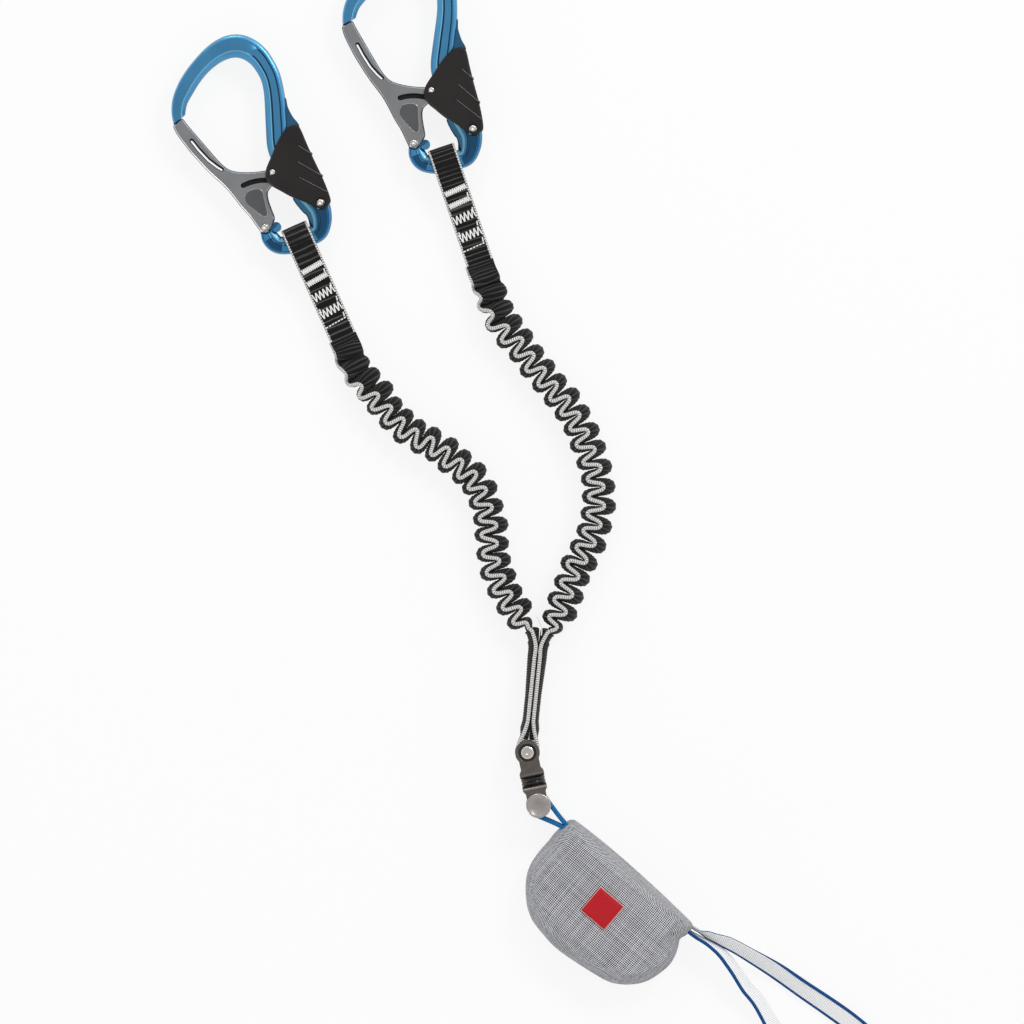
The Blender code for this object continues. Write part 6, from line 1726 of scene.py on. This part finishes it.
def pouch_form():
    """The filled bag before it is inflated: the outline drawn in at the top and the bottom."""
    middle = in_pouch(POUCH_CENTRE_SHARE)
    outline = smooth([in_pouch(share) for share in POUCH_SHARES], 4, closed=True)
    rings = []
    for level, scale in POUCH_ROUND_SHARES:
        height = POUCH_FLOOR + (POUCH_THICKNESS - POUCH_HEIGHT_LOSS) * level
        rings.append([middle + (p - middle) * scale * POUCH_START_SHARE + Vector((0, 0, height)) for p in outline])
    return loft(rings)


def inflate(obj):
    """A short cloth simulation that fills the bag, held to its shape and flat on the floor."""
    scene = bpy.context.scene
    bpy.context.view_layer.objects.active = obj
    remesh = obj.modifiers.new("remesh", "REMESH")
    remesh.mode = "VOXEL"
    remesh.voxel_size = POUCH_VOXEL
    obj.data = evaluated_copy(obj)
    before = [v.co.copy() for v in obj.data.vertices]
    cloth = obj.modifiers.new("cloth", "CLOTH")
    cloth.settings.quality = 5
    cloth.settings.mass = 0.2
    cloth.settings.tension_stiffness = 12
    cloth.settings.bending_stiffness = 0.8
    cloth.settings.use_pressure = True
    cloth.settings.uniform_pressure_force = 4
    cloth.settings.effector_weights.gravity = 0
    cloth.point_cache.frame_start = 1
    cloth.point_cache.frame_end = POUCH_STEPS
    for step in range(1, POUCH_STEPS + 1):
        scene.frame_set(step)
    obj.data = evaluated_copy(obj)
    scene.frame_set(1)
    low = min(v.z for v in before)
    for vertex, start in zip(obj.data.vertices, before):
        move = vertex.co - start
        if move.length > POUCH_SWELL:
            move *= POUCH_SWELL / move.length
        move.z = min(move.z, POUCH_RISE)
        vertex.co = start + move
        vertex.co.z = max(vertex.co.z, low)
    smoothing = obj.modifiers.new("relax", "SMOOTH")
    smoothing.factor = 0.5
    smoothing.iterations = 4
    level = obj.modifiers.new("level", "SUBSURF")
    level.levels = level.render_levels = 1
    obj.data = evaluated_copy(obj)


def make_pouch():
    obj = linked("pouch_bag", pouch_form())
    inflate(obj)
    mesh = obj.data
    mesh.materials.clear()
    mesh.materials.append(POUCH)
    mesh.shade_smooth()
    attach(obj, "absorber")
    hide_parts("pouch")


PATCH_SEAM = 0.00022
PATCH_STEPS = 12


def make_patch():
    """A plain square patch with a folded rim, sewn down all round."""
    centre = in_pouch(PATCH_CENTRE_SHARE)
    _, lengthways, across = pouch_axes()
    half = PATCH_SIDE / 2
    top = POUCH_THICKNESS + GAP + PATCH_THICKNESS / 2
    work = bmesh.new()
    grid = []
    for i in range(PATCH_STEPS + 1):
        row = []
        for j in range(PATCH_STEPS + 1):
            a, b = 2 * i / PATCH_STEPS - 1, 2 * j / PATCH_STEPS - 1
            rim = max(abs(a), abs(b))
            drop = PATCH_THICKNESS * (0.9 if rim > 0.999 else 0.12 if rim > 0.8 else 0)
            row.append(work.verts.new(centre + (lengthways * a + across * b) * half + Vector((0, 0, top - drop))))
        grid.append(row)
    for i in range(PATCH_STEPS):
        for j in range(PATCH_STEPS):
            work.faces.new((grid[i][j], grid[i + 1][j], grid[i + 1][j + 1], grid[i][j + 1]))
    bmesh.ops.recalc_face_normals(work, faces=work.faces)
    obj = show("sewn_patch", finished(work, "patch"), PATCH, "absorber", ["pouch_patch"], sharp=50)
    solid = obj.modifiers.new("cloth", "SOLIDIFY")
    solid.thickness = PATCH_THICKNESS
    solid.offset = 0
    corners = [(-1, -1), (1, -1), (1, 1), (-1, 1), (-1, -1)]
    seam = [centre + (lengthways * a + across * b) * (half - PATCH_SEAM) + Vector((0, 0, top - PATCH_SEAM))
            for a, b in corners]
    sewn_thread("patch_seam", [seam], PATCH_SEAM, PALE_THREAD, "absorber")


# Studio

SKY_STOPS = ((0.0, 0.95), (0.15, 0.75), (0.40, 0.80), (0.62, 0.95), (0.80, 0.60), (0.92, 0.52), (1.0, 0.52))
LAMPS = (  # name, place, side and watts
    ("key", (1.3, 1.7, 1.9), 0.8, 20), ("softbox", (-2.0, -1.5, 0.42), 0.7, 6), ("rim", (-0.35, 2.2, 1.5), 0.5, 7),
)
LAMP_AIM = (0, 0.17, 0)
FLOOR_REACH = 6.0
FLOOR_DROP = 0.0002
FLOOR_GLOW_SHARE = 0.86


def make_studio():
    """Soft lamps, a pale world and a floor that is nearly white to the camera and keeps its shadows."""
    scene = bpy.context.scene
    scene.view_settings.view_transform = "Standard"
    scene.world = bpy.data.worlds.new("studio")
    scene.world.use_nodes = True
    sky = Nodes(scene.world.node_tree)
    height = sky.add("SeparateXYZ", {0: sky.add("TexCoord").outputs["Generated"]}).outputs[2]
    back = sky.tree.nodes["Background"].inputs
    sky.tree.links.new(sky.ramp(height, SKY_STOPS), back["Color"])
    back["Strength"].default_value = 1.0
    for name, spot, size, power in LAMPS:
        data = bpy.data.lights.new(name, "AREA")
        data.shape = "SQUARE"
        data.size = size
        data.energy = power
        lamp = linked(name, data)
        lamp.location = spot
        lamp.rotation_euler = (Vector(LAMP_AIM) - Vector(spot)).to_track_quat("-Z", "Y").to_euler()
    mesh = bpy.data.meshes.new("floor")
    corners = [(x * FLOOR_REACH, y * FLOOR_REACH, 0) for x, y in ((-1, -1), (1, -1), (1, 1), (-1, 1))]
    mesh.from_pydata(corners, [], [(0, 1, 2, 3)])
    floor = linked("floor", mesh)
    floor.location.z = -FLOOR_DROP
    look = Look("floor", Base_Color=(0.9, 0.9, 0.9, 1), Roughness=1.0, Specular_IOR_Level=0.0)
    path = look.add("LightPath").outputs
    seen = look.math("MAXIMUM", path["Is Camera Ray"], path["Is Glossy Ray"])
    glow = look.add("Emission", {"Color": (1, 1, 1, 1), "Strength": 1.0}).outputs[0]
    share = look.math("MULTIPLY", seen, FLOOR_GLOW_SHARE)
    blend = look.add("MixShader", {"Fac": share, 1: look.shader.outputs[0], 2: glow})
    look.tree.links.new(blend.outputs[0], look.tree.nodes["Material Output"].inputs["Surface"])
    mesh.materials.append(look.material)


SIDES = (
    ("left", LEFT_EYE, LEFT_CARABINER_ANGLE, LEFT_LOOP_ANGLE, LEFT_PLEATS, LEFT_ARM_ROUTE, -1),
    ("right", RIGHT_EYE, RIGHT_CARABINER_ANGLE, RIGHT_LOOP_ANGLE, RIGHT_PLEATS, RIGHT_ARM_ROUTE, 1),
)
for side_name, eye_place, body_angle, tail_angle, pleat_count, arm_route, way in SIDES:
    make_carabiner(side_name, eye_place, body_angle)
    make_end_loop(side_name, eye_place, tail_angle)
    make_arm(side_name, eye_place, tail_angle, pleat_count, arm_route, way)
make_stem()
make_swivel()
make_absorber_loop()
make_pouch()
make_patch()
make_tie_in_loop()
paint_node("absorber_pack", PACK_WEBBING)
make_studio()
